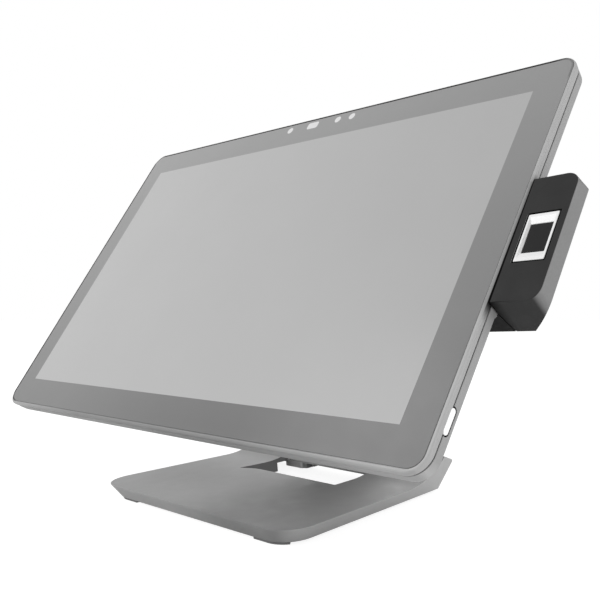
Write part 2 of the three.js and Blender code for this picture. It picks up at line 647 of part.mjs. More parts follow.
// the connectors stand on one small board, in line with the panel's cut-outs
const portBoard = () => {
  const body = portY(-91, -76);
  const mouth = portY(-92, -80);
  return cut(
    add(
      box(about(0, 66), portY(-87.5, -72), [-30.9, -29.6]),
      ...SMALL_PORTS.map((x) => box(about(x, 6.4), body, [-35.9, -30.5])),
      box(about(WIDE_PORT, 7.6), body, [-36.7, -30.5]),
      box(about(END_PORT, 6.6), body, [-35.9, -30.5]),
      roundPort(2.9, body),
      box(about(ROUND_PORT.x, 2.5), portY(-86, -76), [-33, -30.5])),
    ...SMALL_PORTS.map((x) => box(about(x, 5.6), mouth, [-35.2, -33.4])),
    box(about(WIDE_PORT, 6), mouth, [-35.6, -32.4]),
    roundPort(1.9, mouth));
};
addPiece(head, 'port_panel', portPanel(), MATERIALS.steel);
addPiece(head, 'port_board', portBoard(), MATERIALS.black);

// ------------------------------------------------------------- power button
const powerButton = () => add(
  buttonBar(0, [262.8, 267.2]),
  box([262, 263.2], about(BUTTON.y, 10), about(BUTTON.z, 2.9)));
// switch board on the button's inner side
const buttonBoard = () => add(
  box([255.6, 256.8], about(BUTTON.y, 12), [-10.8, -5.6]),
  box([256.6, 260.9], about(BUTTON.y, 2.4), [-9.2, -5.7]));

const button = new THREE.Group();
head.add(button);
addPiece(button, 'power_button', powerButton(), MATERIALS.white);
addPiece(head, 'button_board', buttonBoard(), MATERIALS.board);

// ------------------------------------------ head bracket round the tilt pin
const headBracket = () => {
  const { y, z } = TILT_PIN;
  const through = [HOUSING_BACK - 6, HOUSING_BACK + 2];
  const ear = (xRange) => add(
    barX(EAR_R, y, z, xRange),
    box(xRange, about(y, EAR_R), [z, HOUSING_BACK - 2]));
  const body = add(
    slab(104, 100, 6, [HOUSING_BACK - 3.3, HOUSING_BACK - 0.3], { steps: 4 }),
    ear(UPPER_HINGE.ear),
    ear(onSide(-1, UPPER_HINGE.ear)));
  return cut(body,
    barX(PIN_HOLE_R, y, z, about(0, 60)),
    slab(26, 14, 5, through, { y: -34, steps: 4 }),
    ...barsZ(2.3, PLATE_SCREWS, through));
};
addPiece(head, 'head_bracket', headBracket(), MATERIALS.steel);
addPiece(head, 'tilt_pin', hingePin(TILT_PIN, UPPER_HINGE), MATERIALS.steel);
addScrews(head, 'head_bracket_screw', PLATE_SCREWS,
  { radius: 3.8, z: [HOUSING_BACK - 6.1, HOUSING_BACK - 3.6] },
  { radius: 1.8, z: [HOUSING_BACK - 5, -29] });

// ======================================================= FINGERPRINT READER
// Drawn in its own axes: x = outwards from the head, y = up, z = out of its face,
// then turned into the head's axes.
const READER_PLACE = { x: 267.4, z: 0.1 }; // where its front face meets the head
const READER_TURN = 3.26 * DEG;            // face turned in towards the screen's middle
const READER_PITCH = 0.76 * DEG;           // face turned down
const READER = {
  width: 34.4, bottom: -48, top: 47.4,
  side: 13.6,     // depth of the outer side
  depth: 30.6,
  rearWidth: 18.15,
  radius: 10,
  rearRadius: 3.5, // top corner, towards the back
};
// the parting line between the two shells runs back at a slant
const PART_FRONT = { x: 0.1, z: -12.3 };
const PART_REAR = { x: 3.5, z: -READER.depth - 2 };
const SENSOR = { x: 17.6, y: -0.45, width: 21.7, height: 35.7 };
const SENSOR_WINDOW = { x: 17.5, y: -0.15, width: 16.6, height: 22.2 };

const readerMatrix = new THREE.Matrix4()
  .makeRotationFromEuler(new THREE.Euler(READER_PITCH, -READER_TURN, 0, 'YXZ'))
  .setPosition(READER_PLACE.x, 0, READER_PLACE.z);
const addReaderPiece = (name, shape, material) =>
  addPiece(head, name, shape.applyMatrix4(readerMatrix), material);

// square against the head, round on the free side
const readerOutline = (inset, topR, bottomR) => {
  const outer = READER.width - inset;
  const bottom = READER.bottom + inset;
  const top = READER.top - inset;
  return [
    [inset, bottom],
    ...arc(outer - bottomR, bottom + bottomR, bottomR, 270, 90, 7),
    ...arc(outer - topR, top - topR, topR, 0, 90, 7),
    [inset, top],
  ];
};

const readerBlock = (inset, front) => {
  const radius = READER.radius - inset;
  const rearOutline = readerOutline(inset, READER.rearRadius - inset * 0.5, radius);
  const sideProfile = [ // x, z
    [-5, 5], [READER.width + 5, 5],
    [READER.width - inset, -READER.side + inset * 0.4],
    [READER.rearWidth - inset * 0.4, -READER.depth + inset],
    [-5, -READER.depth + inset],
  ];
  return meet(
    loft([
      [rearOutline, -READER.depth - 1],
      [rearOutline, -READER.side],
      [readerOutline(inset, radius, radius), front],
    ]),
    pullY(sideProfile, about(0, 60)));
};

const readerFrontShell = () => {
  const wall = 1.8;
  const inwardOfPart = [ // x, z
    [-30, PART_FRONT.z], [-30, PART_REAR.z],
    [PART_REAR.x + 0.2, PART_REAR.z], [PART_FRONT.x + 0.2, PART_FRONT.z + 0.2],
  ];
  const front = cut(cut(readerBlock(0, 0), readerBlock(wall, -wall)),
    pullY(inwardOfPart, about(0, 60)));
  // opening for the sensor
  return cut(front, box(
    about(SENSOR.x, SENSOR.width / 2 + 0.5), about(SENSOR.y, SENSOR.height / 2 + 0.5), [-5, 3]));
};
addReaderPiece('reader_front_shell', readerFrontShell(), MATERIALS.dark);

// reaches behind the edge of the head and stays clear of it; cut in the head's axes
const readerRearShell = () => {
  const profile = [ // x, z
    [-17, -13.4], [-17, -READER.depth], [PART_REAR.x - 0.36, -READER.depth],
    [PART_FRONT.x - 0.1, PART_FRONT.z - 0.3], [PART_FRONT.x - 0.1, -13.4],
  ];
  const hook = pullY(profile, [READER.bottom, READER.top]).applyMatrix4(readerMatrix);
  const grow = ([x, y]) => [x + Math.sign(x) * 0.5, y + Math.sign(y) * 0.5];
  const last = coverRings.length - 1;
  const clearance = loft(coverRings.map(([points, z], i) =>
    [points.map(grow), i < last ? z - 0.4 : z]));
  return cut(hook, clearance);
};
addPiece(head, 'reader_rear_shell', readerRearShell(), MATERIALS.dark);

// bevelled frame round the sensor window; rows: width, height, corner radius, z
const sensorFrame = () => {
  const { width, height } = SENSOR;
  const hole = SENSOR_WINDOW;
  return cut(
    loft(roundedRings([
      [width, height, 0.6, -4.2],
      [width, height, 0.6, -0.5],
      [width - 0.5, height - 0.5, 0.5, -0.2],
    ], { x: SENSOR.x, y: SENSOR.y, steps: 2 })),
    loft(roundedRings([
      [hole.width, hole.height, 0.3, -5],
      [hole.width, hole.height, 0.3, -1.7],
      [hole.width + 2.8, hole.height + 5.6, 0.5, 0.2],
    ], { x: hole.x, y: hole.y, steps: 2 })));
};
const sensorWindow = () => {
  const { x, y, width, height } = SENSOR_WINDOW;
  return box(about(x, width / 2 - 0.2), about(y, height / 2 - 0.2), [-4, -1.9]);
};
const readerBoard = () => add(
  box([4, 30], [-26, 26], [-6.4, -5.2]),
  box([8, 22], [-12, 8], [-9, -6.2]));
addReaderPiece('sensor_frame', sensorFrame(), MATERIALS.white);
addReaderPiece('sensor_window', sensorWindow(), MATERIALS.black);
addReaderPiece('reader_board', readerBoard(), MATERIALS.board);

export default terminal;
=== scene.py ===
"""Countertop checkout terminal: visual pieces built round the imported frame.

Lengths in the builders below are millimetres; meshes are written in metres in the row frame.
Head coordinates are (u, v, n): across the screen, up the screen, out of the glass.
"""

import math

import bpy
import bmesh
from mathutils import Matrix, Vector
from mathutils.geometry import delaunay_2d_cdt


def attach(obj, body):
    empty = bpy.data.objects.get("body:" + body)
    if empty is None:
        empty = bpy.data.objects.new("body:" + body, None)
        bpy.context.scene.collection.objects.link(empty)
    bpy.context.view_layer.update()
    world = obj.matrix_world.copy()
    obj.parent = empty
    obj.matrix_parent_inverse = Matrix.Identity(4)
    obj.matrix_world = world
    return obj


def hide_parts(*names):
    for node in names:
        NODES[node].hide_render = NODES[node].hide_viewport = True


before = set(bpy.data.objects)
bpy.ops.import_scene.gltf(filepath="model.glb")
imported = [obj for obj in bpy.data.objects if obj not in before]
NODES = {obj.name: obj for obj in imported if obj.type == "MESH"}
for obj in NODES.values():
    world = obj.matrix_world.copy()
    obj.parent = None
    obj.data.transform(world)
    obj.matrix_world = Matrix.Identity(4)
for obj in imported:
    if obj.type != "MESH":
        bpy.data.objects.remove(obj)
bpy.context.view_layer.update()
MM = 0.001

# ------------------------------------------------------------------ places
LEAN = 35.46
PLACE_ROW = Matrix.Translation((-17.773, 5.72, 0))  # the foot's middle, from the row's origin
PLACE_HEAD = PLACE_ROW @ Matrix.Translation((0, -20, 214)) @ Matrix.Rotation(math.radians(90 - LEAN), 4, "X")
PIN_Y = -20 + 56 * math.cos(math.radians(LEAN))
PIN_Z = 214 - 56 * math.sin(math.radians(LEAN))
HINGE_Y, HINGE_Z = 92.0, 44.0
ARM_LEN = math.hypot(PIN_Y - HINGE_Y, PIN_Z - HINGE_Z)
ARM_LEAN = math.atan2(HINGE_Y - PIN_Y, PIN_Z - HINGE_Z)
PLACE_ARM = PLACE_ROW @ Matrix.Translation((0, HINGE_Y, HINGE_Z)) @ Matrix.Rotation(ARM_LEAN, 4, "X")
PLACE_READER = (
    PLACE_HEAD
    @ Matrix.Translation((267.4, 0, 0.1))
    @ Matrix.Rotation(math.radians(-3.26), 4, "Y")
    @ Matrix.Rotation(math.radians(0.76), 4, "X")
)

scene = bpy.context.scene
COLLECTION = scene.collection


# ---------------------------------------------------------------- outlines
def rounded(w, h, r, cx=0.0, cy=0.0, n=10):
    """Points round a rounded rectangle, anticlockwise from its right side."""
    pts = []
    for sx, sy, a0 in ((1, 1, 0), (-1, 1, 90), (-1, -1, 180), (1, -1, 270)):
        for i in range(n + 1):
            a = math.radians(a0 + 90 * i / n)
            pts.append((cx + sx * (w / 2 - r) + r * math.cos(a), cy + sy * (h / 2 - r) + r * math.sin(a)))
    return pts


def circle(r, cx=0.0, cy=0.0, n=32):
    return [(cx + r * math.cos(2 * math.pi * i / n), cy + r * math.sin(2 * math.pi * i / n)) for i in range(n)]


def blend_rings(a, b, t):
    return [(p[0] + (q[0] - p[0]) * t, p[1] + (q[1] - p[1]) * t) for p, q in zip(a, b)]


def at(pts, z):
    return [(x, y, z) for x, y in pts]


# --------------------------------------------------------------- mesh tools
class Body:
    """Collects rings and faces in millimetres, then becomes an object."""

    def __init__(self):
        self.verts, self.faces, self.mats = [], [], []

    def ring(self, pts):
        start = len(self.verts)
        self.verts += [tuple(p) for p in pts]
        return list(range(start, start + len(pts)))

    def face(self, ids, mat=0):
        self.faces.append(list(ids))
        self.mats.append(mat)

    def skin(self, rings, mat=0, cap0=True, cap1=True, loop=False):
        """Joins rings of equal length. cap0/cap1 close the ends, loop joins last to first."""
        ids = [self.ring(r) for r in rings]
        pairs = list(zip(ids, ids[1:])) + ([(ids[-1], ids[0])] if loop else [])
        for a, b in pairs:
            n = len(a)
            for i in range(n):
                j = (i + 1) % n
                self.face((a[i], a[j], b[j], b[i]), mat)
        if not loop:
            if cap0:
                self.face(list(reversed(ids[0])), mat)
            if cap1:
                self.face(ids[-1], mat)
        return ids


def to_object(name, body, place=PLACE_ROW, mats=()):
    mesh = bpy.data.meshes.new(name)
    m = place
    pts = [(m @ Vector(v)) * MM for v in body.verts]
    mesh.from_pydata(pts, [], body.faces)
    mesh.validate()
    for k, p in enumerate(mesh.polygons):
        if k < len(body.mats):
            p.material_index = body.mats[k]
    obj = bpy.data.objects.new(name, mesh)
    COLLECTION.objects.link(obj)
    bm = bmesh.new()
    bm.from_mesh(mesh)
    bmesh.ops.remove_doubles(bm, verts=bm.verts, dist=1e-7)
    bmesh.ops.recalc_face_normals(bm, faces=bm.faces)
    bm.to_mesh(mesh)
    bm.free()
    for mat in mats:
        mesh.materials.append(mat)
    return obj


def bake(obj):
    """Applies the modifiers an object carries."""
    bpy.context.view_layer.update()
    dg = bpy.context.evaluated_depsgraph_get()
    new = bpy.data.meshes.new_from_object(obj.evaluated_get(dg), depsgraph=dg)
    old = obj.data
    obj.modifiers.clear()
    obj.data = new
    new.name = obj.name
    if old.users == 0:
        bpy.data.meshes.remove(old)
    return obj


def combine(obj, tool, operation):
    mod = obj.modifiers.new("b", "BOOLEAN")
    mod.operation = operation
    mod.object = tool
    mod.solver = "EXACT"
    bake(obj)
    mesh = tool.data
    bpy.data.objects.remove(tool)
    bpy.data.meshes.remove(mesh)
    return obj


def tidy(obj, angle=0.5):
    """Joins flat neighbours and drops slivers left by cutting."""
    bm = bmesh.new()
    bm.from_mesh(obj.data)
    bmesh.ops.remove_doubles(bm, verts=bm.verts, dist=2e-6)
    bmesh.ops.dissolve_degenerate(bm, edges=bm.edges, dist=2e-6)
    bmesh.ops.dissolve_limit(bm, angle_limit=math.radians(angle), verts=bm.verts, edges=bm.edges,
                             delimit={"MATERIAL"})
    bm.to_mesh(obj.data)
    bm.free()
    return obj


def round_edges(obj, width, segments=2, angle=30, test=None, place=PLACE_ROW):
    """Rounds the sharp edges that pass the test. The test sees the edge's ends in millimetres in the place's axes."""
    mesh = obj.data
    inverse = place.inverted()
    bm = bmesh.new()
    bm.from_mesh(mesh)
    layer = bm.edges.layers.float.get("bevel_weight_edge") or bm.edges.layers.float.new("bevel_weight_edge")
    count = 0
    for e in bm.edges:
        e[layer] = 0.0
        if len(e.link_faces) != 2 or e.calc_face_angle(0) < math.radians(angle):
            continue
        a, b = (inverse @ (v.co / MM) for v in e.verts)
        if test is None or test(a, b):
            e[layer] = 1.0
            count += 1
    bm.to_mesh(mesh)
    bm.free()
    if count:
        mod = obj.modifiers.new("r", "BEVEL")
        mod.limit_method = "WEIGHT"
        mod.width = width * MM
        mod.segments = segments
        mod.use_clamp_overlap = True
        mod.harden_normals = False
        bake(obj)
    return obj


def shade(obj, angle=32):
    mesh = obj.data
    mesh.polygons.foreach_set("use_smooth", [True] * len(mesh.polygons))
    mesh.set_sharp_from_angle(angle=math.radians(angle))
    mod = obj.modifiers.new("n", "WEIGHTED_NORMAL")
    mod.keep_sharp = True
    mod.weight = 80
    mesh.update()
    return obj


def dress_node(name, mat, bevel=0.0, segments=2):
    """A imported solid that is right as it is: new material, rounded edges, smooth shading."""
    obj = NODES[name]
    obj.data.materials.clear()
    obj.data.materials.append(mat)
    obj.data.polygons.foreach_set("material_index", [0] * len(obj.data.polygons))
    obj.data.polygons.foreach_set("use_smooth", [True] * len(obj.data.polygons))
    for a in [a.name for a in obj.data.attributes if a.name in ("custom_normal", "sharp_face")]:
        obj.data.attributes.remove(obj.data.attributes[a])
    weld = obj.modifiers.new("w", "WELD")
    weld.merge_threshold = 2e-6
    flat = obj.modifiers.new("d", "DECIMATE")
    flat.decimate_type = "DISSOLVE"
    flat.angle_limit = math.radians(1.0)
    if bevel:
        mod = obj.modifiers.new("r", "BEVEL")
        mod.limit_method = "ANGLE"
        mod.angle_limit = math.radians(35)
        mod.width = bevel * MM
        mod.segments = segments
    smooth = obj.modifiers.new("n", "WEIGHTED_NORMAL")
    smooth.keep_sharp = True
    return obj


def place_piece(obj, body, replaces=()):
    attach(obj, body)
    if replaces:
        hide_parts(*replaces)
    return obj


# ---------------------------------------------------------------- materials
def lin(grey):
    """0-255 display grey to scene linear."""
    c = grey / 255.0
    return c / 12.92 if c <= 0.04045 else ((c + 0.055) / 1.055) ** 2.4


class Graph:
    def __init__(self, name):
        self.mat = bpy.data.materials.new(name)
        self.mat.use_nodes = True
        self.tree = self.mat.node_tree
        self.bsdf = self.tree.nodes["Principled BSDF"]
        self.coord = self.add("ShaderNodeTexCoord").outputs["Object"]

    def add(self, kind, **values):
        node = self.tree.nodes.new(kind)
        for k, v in values.items():
            setattr(node, k, v)
        return node

    def link(self, a, b):
        self.tree.links.new(a, b)

    def noise(self, scale, detail=3.0, rough=0.5, stretch=None):
        node = self.add("ShaderNodeTexNoise")
        node.inputs["Scale"].default_value = scale
        node.inputs["Detail"].default_value = detail
        node.inputs["Roughness"].default_value = rough
        if stretch:
            mapping = self.add("ShaderNodeMapping")
            mapping.inputs["Scale"].default_value = stretch
            self.link(self.coord, mapping.inputs["Vector"])
            self.link(mapping.outputs["Vector"], node.inputs["Vector"])
        else:
            self.link(self.coord, node.inputs["Vector"])
        return node.outputs["Fac"]

    def ramp(self, value, a, b, lo, hi, smooth=False):
        node = self.add("ShaderNodeMapRange")
        if smooth:
            node.interpolation_type = "SMOOTHSTEP"
        node.inputs["From Min"].default_value = a
        node.inputs["From Max"].default_value = b
        node.inputs["To Min"].default_value = lo
        node.inputs["To Max"].default_value = hi
        self.link(value, node.inputs["Value"])
        return node.outputs["Result"]

    def math(self, op, a, b=None, c=None):
        node = self.add("ShaderNodeMath", operation=op)
        for i, v in enumerate((a, b, c)):
            if v is None:
                continue
            if isinstance(v, (int, float)):
                node.inputs[i].default_value = v
            else:
                self.link(v, node.inputs[i])
        return node.outputs[0]

    def dot(self, a, b):
        node = self.add("ShaderNodeVectorMath", operation="DOT_PRODUCT")
        for i, v in enumerate((a, b)):
            if isinstance(v, (tuple, list, Vector)):
                node.inputs[i].default_value = tuple(v)
            else:
                self.link(v, node.inputs[i])
        return node.outputs["Value"]

    def grey(self, value):
        """A single value as a neutral colour."""
        node = self.add("ShaderNodeCombineColor")
        for i in range(3):
            if isinstance(value, (int, float)):
                node.inputs[i].default_value = value
            else:
                self.link(value, node.inputs[i])
        return node.outputs["Color"]

    def tinted(self, value, tint):
        node = self.add("ShaderNodeVectorMath", operation="SCALE")
        node.inputs[0].default_value = tint
        self.link(value, node.inputs["Scale"])
        return node.outputs["Vector"]


def surface(name, grey, rough, metal=0.0, spec=0.5, coat=0.0, coat_rough=0.2, mottle=0.035, mottle_scale=14.0,
            grain=1400.0, grain_depth=0.018, stretch=None, edge=0.35, wear=0.0, tint=None, rough_var=0.07,
            tones=(), level=None, glow=0.0, dull=False):
    """A finish with colour drift, fine grain in the bump, uneven gloss, rounded edge highlights and rubbed edges.

    tones = [(axis, from, to, grey)]: faces that look along the axis take another grey, fading in between; every use
    here is painted light and shade by facing.
    level = function(graph) giving a multiplier for the colour, and for the gloss too when dull is set; every such
    multiplier here is painted light and shade.
    dull may be a function of its own, giving the gloss's multiplier. glow adds a faint emission: a painted glow.
    """
    g = Graph(name)
    base = lin(grey)
    drift = g.ramp(g.noise(mottle_scale, 4.0), 0.3, 0.7, 1 - mottle, 1 + mottle)
    speck = g.ramp(g.noise(grain, 2.0, stretch=stretch), 0.3, 0.7, 1 - mottle * 0.6, 1 + mottle * 0.6)
    value = g.math("MULTIPLY", drift, speck)
    geo = g.add("ShaderNodeNewGeometry")
    value = g.math("MULTIPLY", value, base)
    if tones:
        turn = g.add("ShaderNodeVectorTransform", vector_type="NORMAL", convert_from="WORLD", convert_to="OBJECT")
        g.link(geo.outputs["Normal"], turn.inputs[0])
        for axis, a, b, other in tones:
            along = g.dot(turn.outputs[0], tuple(Vector(axis).normalized()))
            value = g.math("MULTIPLY", value, g.ramp(along, a, b, 1.0, lin(other) / base, smooth=True))
    if level:
        amount = level(g)
        value = g.math("MULTIPLY", value, amount)
        if dull:
            matt = g.math("MINIMUM", amount, 1.0) if dull is True else dull(g)
            g.link(g.math("MULTIPLY", matt, spec), g.bsdf.inputs["Specular IOR Level"])
            g.link(g.math("MULTIPLY", matt, coat), g.bsdf.inputs["Coat Weight"])
    normal = None
    if edge:
        soft = g.add("ShaderNodeBevel", samples=4)
        soft.inputs["Radius"].default_value = edge * MM
        normal = soft.outputs["Normal"]
        if wear:
            wide = g.add("ShaderNodeBevel", samples=4)
            wide.inputs["Radius"].default_value = 0.9 * MM
            bend = g.math("SUBTRACT", 1.0, g.dot(wide.outputs["Normal"], geo.outputs["Normal"]))
            patch = g.ramp(g.noise(90.0, 5.0, 0.7), 0.42, 0.62, 0.15, 1.0)
            mask = g.math("MULTIPLY", g.ramp(bend, 0.02, 0.25, 0.0, wear), patch)
            value = g.math("ADD", value, g.math("MULTIPLY", mask, 0.35))
    bump = g.add("ShaderNodeBump")
    bump.inputs["Strength"].default_value = 0.25
    bump.inputs["Distance"].default_value = grain_depth * MM * 5
    g.link(g.noise(grain, 2.0, stretch=stretch), bump.inputs["Height"])
    if normal is not None:
        g.link(normal, bump.inputs["Normal"])
    g.link(bump.outputs["Normal"], g.bsdf.inputs["Normal"])
    g.link(g.ramp(g.noise(60.0, 4.0), 0.3, 0.7, rough - rough_var, rough + rough_var), g.bsdf.inputs["Roughness"])
    g.link(g.tinted(value, tint) if tint else g.grey(value), g.bsdf.inputs["Base Color"])
    g.bsdf.inputs["Metallic"].default_value = metal
    if not dull:
        g.bsdf.inputs["Specular IOR Level"].default_value = spec
        g.bsdf.inputs["Coat Weight"].default_value = coat
    g.bsdf.inputs["Coat Roughness"].default_value = coat_rough
    if glow:
        g.link(g.grey(g.ramp(g.noise(40.0, 2.0), 0.3, 0.7, 0.97, 1.0)), g.bsdf.inputs["Emission Color"])
        g.bsdf.inputs["Emission Strength"].default_value = glow
    g.mat.diffuse_color = (base, base, base, 1)
    return g.mat


HEAD_UP = (0.0, math.sin(math.radians(LEAN)), math.cos(math.radians(LEAN)))


def head_up(g):
    """Distance up the screen from the head's middle, in metres, for pieces of the head."""
    origin = PLACE_HEAD.translation * MM
    return g.math("SUBTRACT", g.dot(g.coord, HEAD_UP), origin.dot(Vector(HEAD_UP)))


def ramp_xz(g, x_ends, z_ends):
    """A multiplier that changes across the object and up it."""
    place = g.add("ShaderNodeSeparateXYZ")
    g.link(g.coord, place.inputs[0])
    across = g.ramp(place.outputs["X"], -0.27, 0.25, *x_ends)
    up = g.ramp(place.outputs["Z"], 0.09, 0.34, *z_ends)
    return g.math("MULTIPLY", across, up)


def screen_painted_light(g):
    """Painted light: the picture area is painted a little lighter towards its left side."""
    return ramp_xz(g, (1.09, 0.95), (1.0, 1.0))


def border_painted_shading(g):
    """Painted light and shade: the printed border is painted lighter towards the top left and darker along the bottom.
    """
    place = g.add("ShaderNodeSeparateXYZ")
    g.link(g.coord, place.inputs[0])
    low = g.ramp(place.outputs["Z"], 0.09, 0.17, 1.0, 0.0)
    right = g.ramp(place.outputs["X"], -0.18, 0.08, 0.0, 0.38)
    corner = g.math("SUBTRACT", 1.0, g.math("MULTIPLY", low, right))
    return g.math("MULTIPLY", corner, ramp_xz(g, (1.08, 0.92), (0.72, 1.1)))


def edge_shade_mask(g):
    """Low along the screen's top and left edges, one elsewhere: this marks where painted shade falls on the glass's
    edge and on the seal.
    """
    place = g.add("ShaderNodeSeparateXYZ")
    g.link(g.coord, place.inputs[0])
    top = g.ramp(head_up(g), 0.138, 0.150, 1.0, 0.09, smooth=True)
    left = g.ramp(place.outputs["X"], -0.276, -0.266, 0.09, 1.0, smooth=True)
    top = g.math("MAXIMUM", top, g.ramp(place.outputs["X"], 0.228, 0.243, 0.09, 0.7, smooth=True))
    return g.math("MINIMUM", top, left)


def joint_painted_light(g):
    """Painted light: the black ring in the joint behind the frame is painted lighter towards the top."""
    place = g.add("ShaderNodeSeparateXYZ")
    g.link(g.coord, place.inputs[0])
    return g.ramp(place.outputs["Z"], 0.12, 0.30, 0.6, 5.5)


def outline_painted_shade(g):
    """Painted shade: the print's outermost line and the glass's edge are painted nearly black along the top and the
    left.
    """
    return g.math("MULTIPLY", border_painted_shading(g), edge_shade_mask(g))


def shell_painted_light(g):
    """Painted light: the rear cover's bottom edge is painted lighter towards the right corner."""
    place = g.add("ShaderNodeSeparateXYZ")
    g.link(g.coord, place.inputs[0])
    right = g.ramp(place.outputs["X"], 0.08, 0.22, 0.0, 0.3)
    low = g.ramp(head_up(g), -0.158, -0.150, 1.0, 0.0)
    return g.math("MULTIPLY_ADD", right, low, 1.0)


def foot_painted_shading(g):
    """Painted light and shade: the foot is painted darker where it lies under the head's right half, and lighter
    towards the back and on its rear-left boss. Its right side is painted bright, the window's left wall dark.
    """
    place = g.add("ShaderNodeSeparateXYZ")
    g.link(g.coord, place.inputs[0])
    across = g.ramp(place.outputs["X"], -0.04, 0.05, 1.0, 0.66, smooth=True)
    back = g.ramp(place.outputs["Y"], -0.09, 0.06, 1.02, 1.3)
    geo = g.add("ShaderNodeNewGeometry")
    turn = g.add("ShaderNodeVectorTransform", vector_type="NORMAL", convert_from="WORLD", convert_to="OBJECT")
    g.link(geo.outputs["Normal"], turn.inputs[0])
    side = g.ramp(g.dot(turn.outputs[0], tuple(Vector((1, 0, -0.2)).normalized())), 0.35, 0.85, 0.0, 1.0, smooth=True)
    tip = g.math("MULTIPLY", g.ramp(place.outputs["X"], 0.08, 0.112, 0.0, 0.17), g.ramp(place.outputs["Y"], 0.0, 0.05, 0.0, 1.0))
    back = g.math("MULTIPLY_ADD", back, tip, back)
    boss = g.math("MULTIPLY", g.ramp(place.outputs["Y"], 0.0755, 0.0765, 0.0, 1.3), g.ramp(place.outputs["Z"], 0.0144, 0.0150, 1.0, 0.0))
    boss = g.math("MULTIPLY", boss, g.math("MULTIPLY", g.ramp(place.outputs["X"], -0.064, -0.060, 1.0, 0.0), g.ramp(place.outputs["X"], -0.100, -0.098, 0.0, 1.0)))
    boss = g.math("MULTIPLY", boss, g.ramp(place.outputs["Y"], 0.082, 0.084, 1.0, 0.0))
    back = g.math("MULTIPLY_ADD", back, boss, back)
    which = g.ramp(place.outputs["X"], 0.05, 0.07, 0.42 - 1.0, lin(206) / lin(168) - 1.0)
    return g.math("MULTIPLY", g.math("MULTIPLY", across, back), g.math("MULTIPLY_ADD", side, which, 1.0))


def lip_painted_shade(g):
    """Painted shade: the frame's front lip is painted dark along its top and left sides, and darker and duller along
    the bottom and beside the reader.
    """
    place = g.add("ShaderNodeSeparateXYZ")
    g.link(g.coord, place.inputs[0])
    up = head_up(g)
    left = g.ramp(place.outputs["X"], -0.2822, -0.2816, 0.03, 1.0)
    top = g.ramp(up, 0.1610, 0.1615, 1.0, 0.03)
    low = g.ramp(up, -0.1608, -0.1596, 0.0, 1.0)
    bottom = g.ramp(place.outputs["X"], -0.27, -0.14, 0.86, 0.56)
    bottom = g.math("ADD", bottom, g.ramp(place.outputs["X"], 0.08, 0.22, 0.0, 0.32))
    bottom = g.math("SUBTRACT", 1.0, g.math("MULTIPLY", g.math("SUBTRACT", 1.0, low), g.math("SUBTRACT", 1.0, bottom)))
    beside = g.math("MULTIPLY", g.ramp(up, -0.062, -0.046, 0.0, 1.0, smooth=True), g.ramp(up, 0.046, 0.054, 1.0, 0.0))
    right = g.math("ADD", g.ramp(place.outputs["X"], 0.2440, 0.2450, 0.0, 0.36), g.ramp(place.outputs["X"], 0.24855, 0.24875, 0.0, 0.6))
    right = g.math("SUBTRACT", 1.0, g.math("MULTIPLY", beside, right))
    geo = g.add("ShaderNodeNewGeometry")
    turn = g.add("ShaderNodeVectorTransform", vector_type="NORMAL", convert_from="WORLD", convert_to="OBJECT")
    g.link(geo.outputs["Normal"], turn.inputs[0])
    out = PLACE_HEAD.to_3x3() @ Vector((0, 0, 1))
    facing = g.ramp(g.dot(turn.outputs[0], tuple(out)), 0.05, 0.3, 0.0, 1.0, smooth=True)
    dark = g.math("SUBTRACT", 1.0, g.math("MULTIPLY", left, top))
    lip = g.math("SUBTRACT", 1.0, g.math("MULTIPLY", dark, facing))
    return g.math("MULTIPLY", lip, g.math("MULTIPLY", bottom, right))


def seal_painted_shade(g):
    """Painted shade: the seal round the glass is painted darker along the bottom, the left and the top right corner,
    where its groove lies in shade.
    """
    place = g.add("ShaderNodeSeparateXYZ")
    g.link(g.coord, place.inputs[0])
    up = head_up(g)
    low = g.ramp(up, -0.156, -0.146, 0.52, 1.0, smooth=True)
    high = g.ramp(up, 0.06, 0.16, 1.0, 0.4, smooth=True)
    side = g.ramp(place.outputs["X"], -0.25, 0.2, 0.5, 1.0)
    edge = g.math("MULTIPLY", g.ramp(up, 0.158, 0.160, 1.0, 0.08), g.ramp(place.outputs["X"], -0.2812, -0.2804, 0.08, 1.0))
    low = g.math("MAXIMUM", low, g.ramp(place.outputs["X"], 0.10, 0.21, 0.5, 1.25))
    return g.math("MULTIPLY", g.math("MULTIPLY", low, high), g.math("MULTIPLY", side, edge))


def reader_painted_shade(g):
    """Painted shade: the reader's edge against the head is painted nearly black, and so is the left part of its lower
    edge, where the head's shadow falls.
    """
    place = g.add("ShaderNodeSeparateXYZ")
    g.link(g.coord, place.inputs[0])
    geo = g.add("ShaderNodeNewGeometry")
    turn = g.add("ShaderNodeVectorTransform", vector_type="NORMAL", convert_from="WORLD", convert_to="OBJECT")
    g.link(geo.outputs["Normal"], turn.inputs[0])
    under = g.ramp(g.dot(turn.outputs[0], HEAD_UP), -0.5, -0.8, 0.0, 1.0)
    line = g.math("MULTIPLY", g.math("SUBTRACT", 1.0, under), g.ramp(place.outputs["X"], 0.254, 0.271, 1.0, 0.0))
    patch = g.math("MULTIPLY", under, g.ramp(place.outputs["X"], 0.2505, 0.2585, 1.0, 0.0))
    low = g.math("MULTIPLY", g.ramp(head_up(g), -0.0476, -0.0472, 0.8, 0.0), g.math("ADD", line, patch))
    return g.math("MULTIPLY", g.ramp(place.outputs["X"], 0.25035, 0.25085, 0.06, 1.0), g.math("SUBTRACT", 1.0, low))


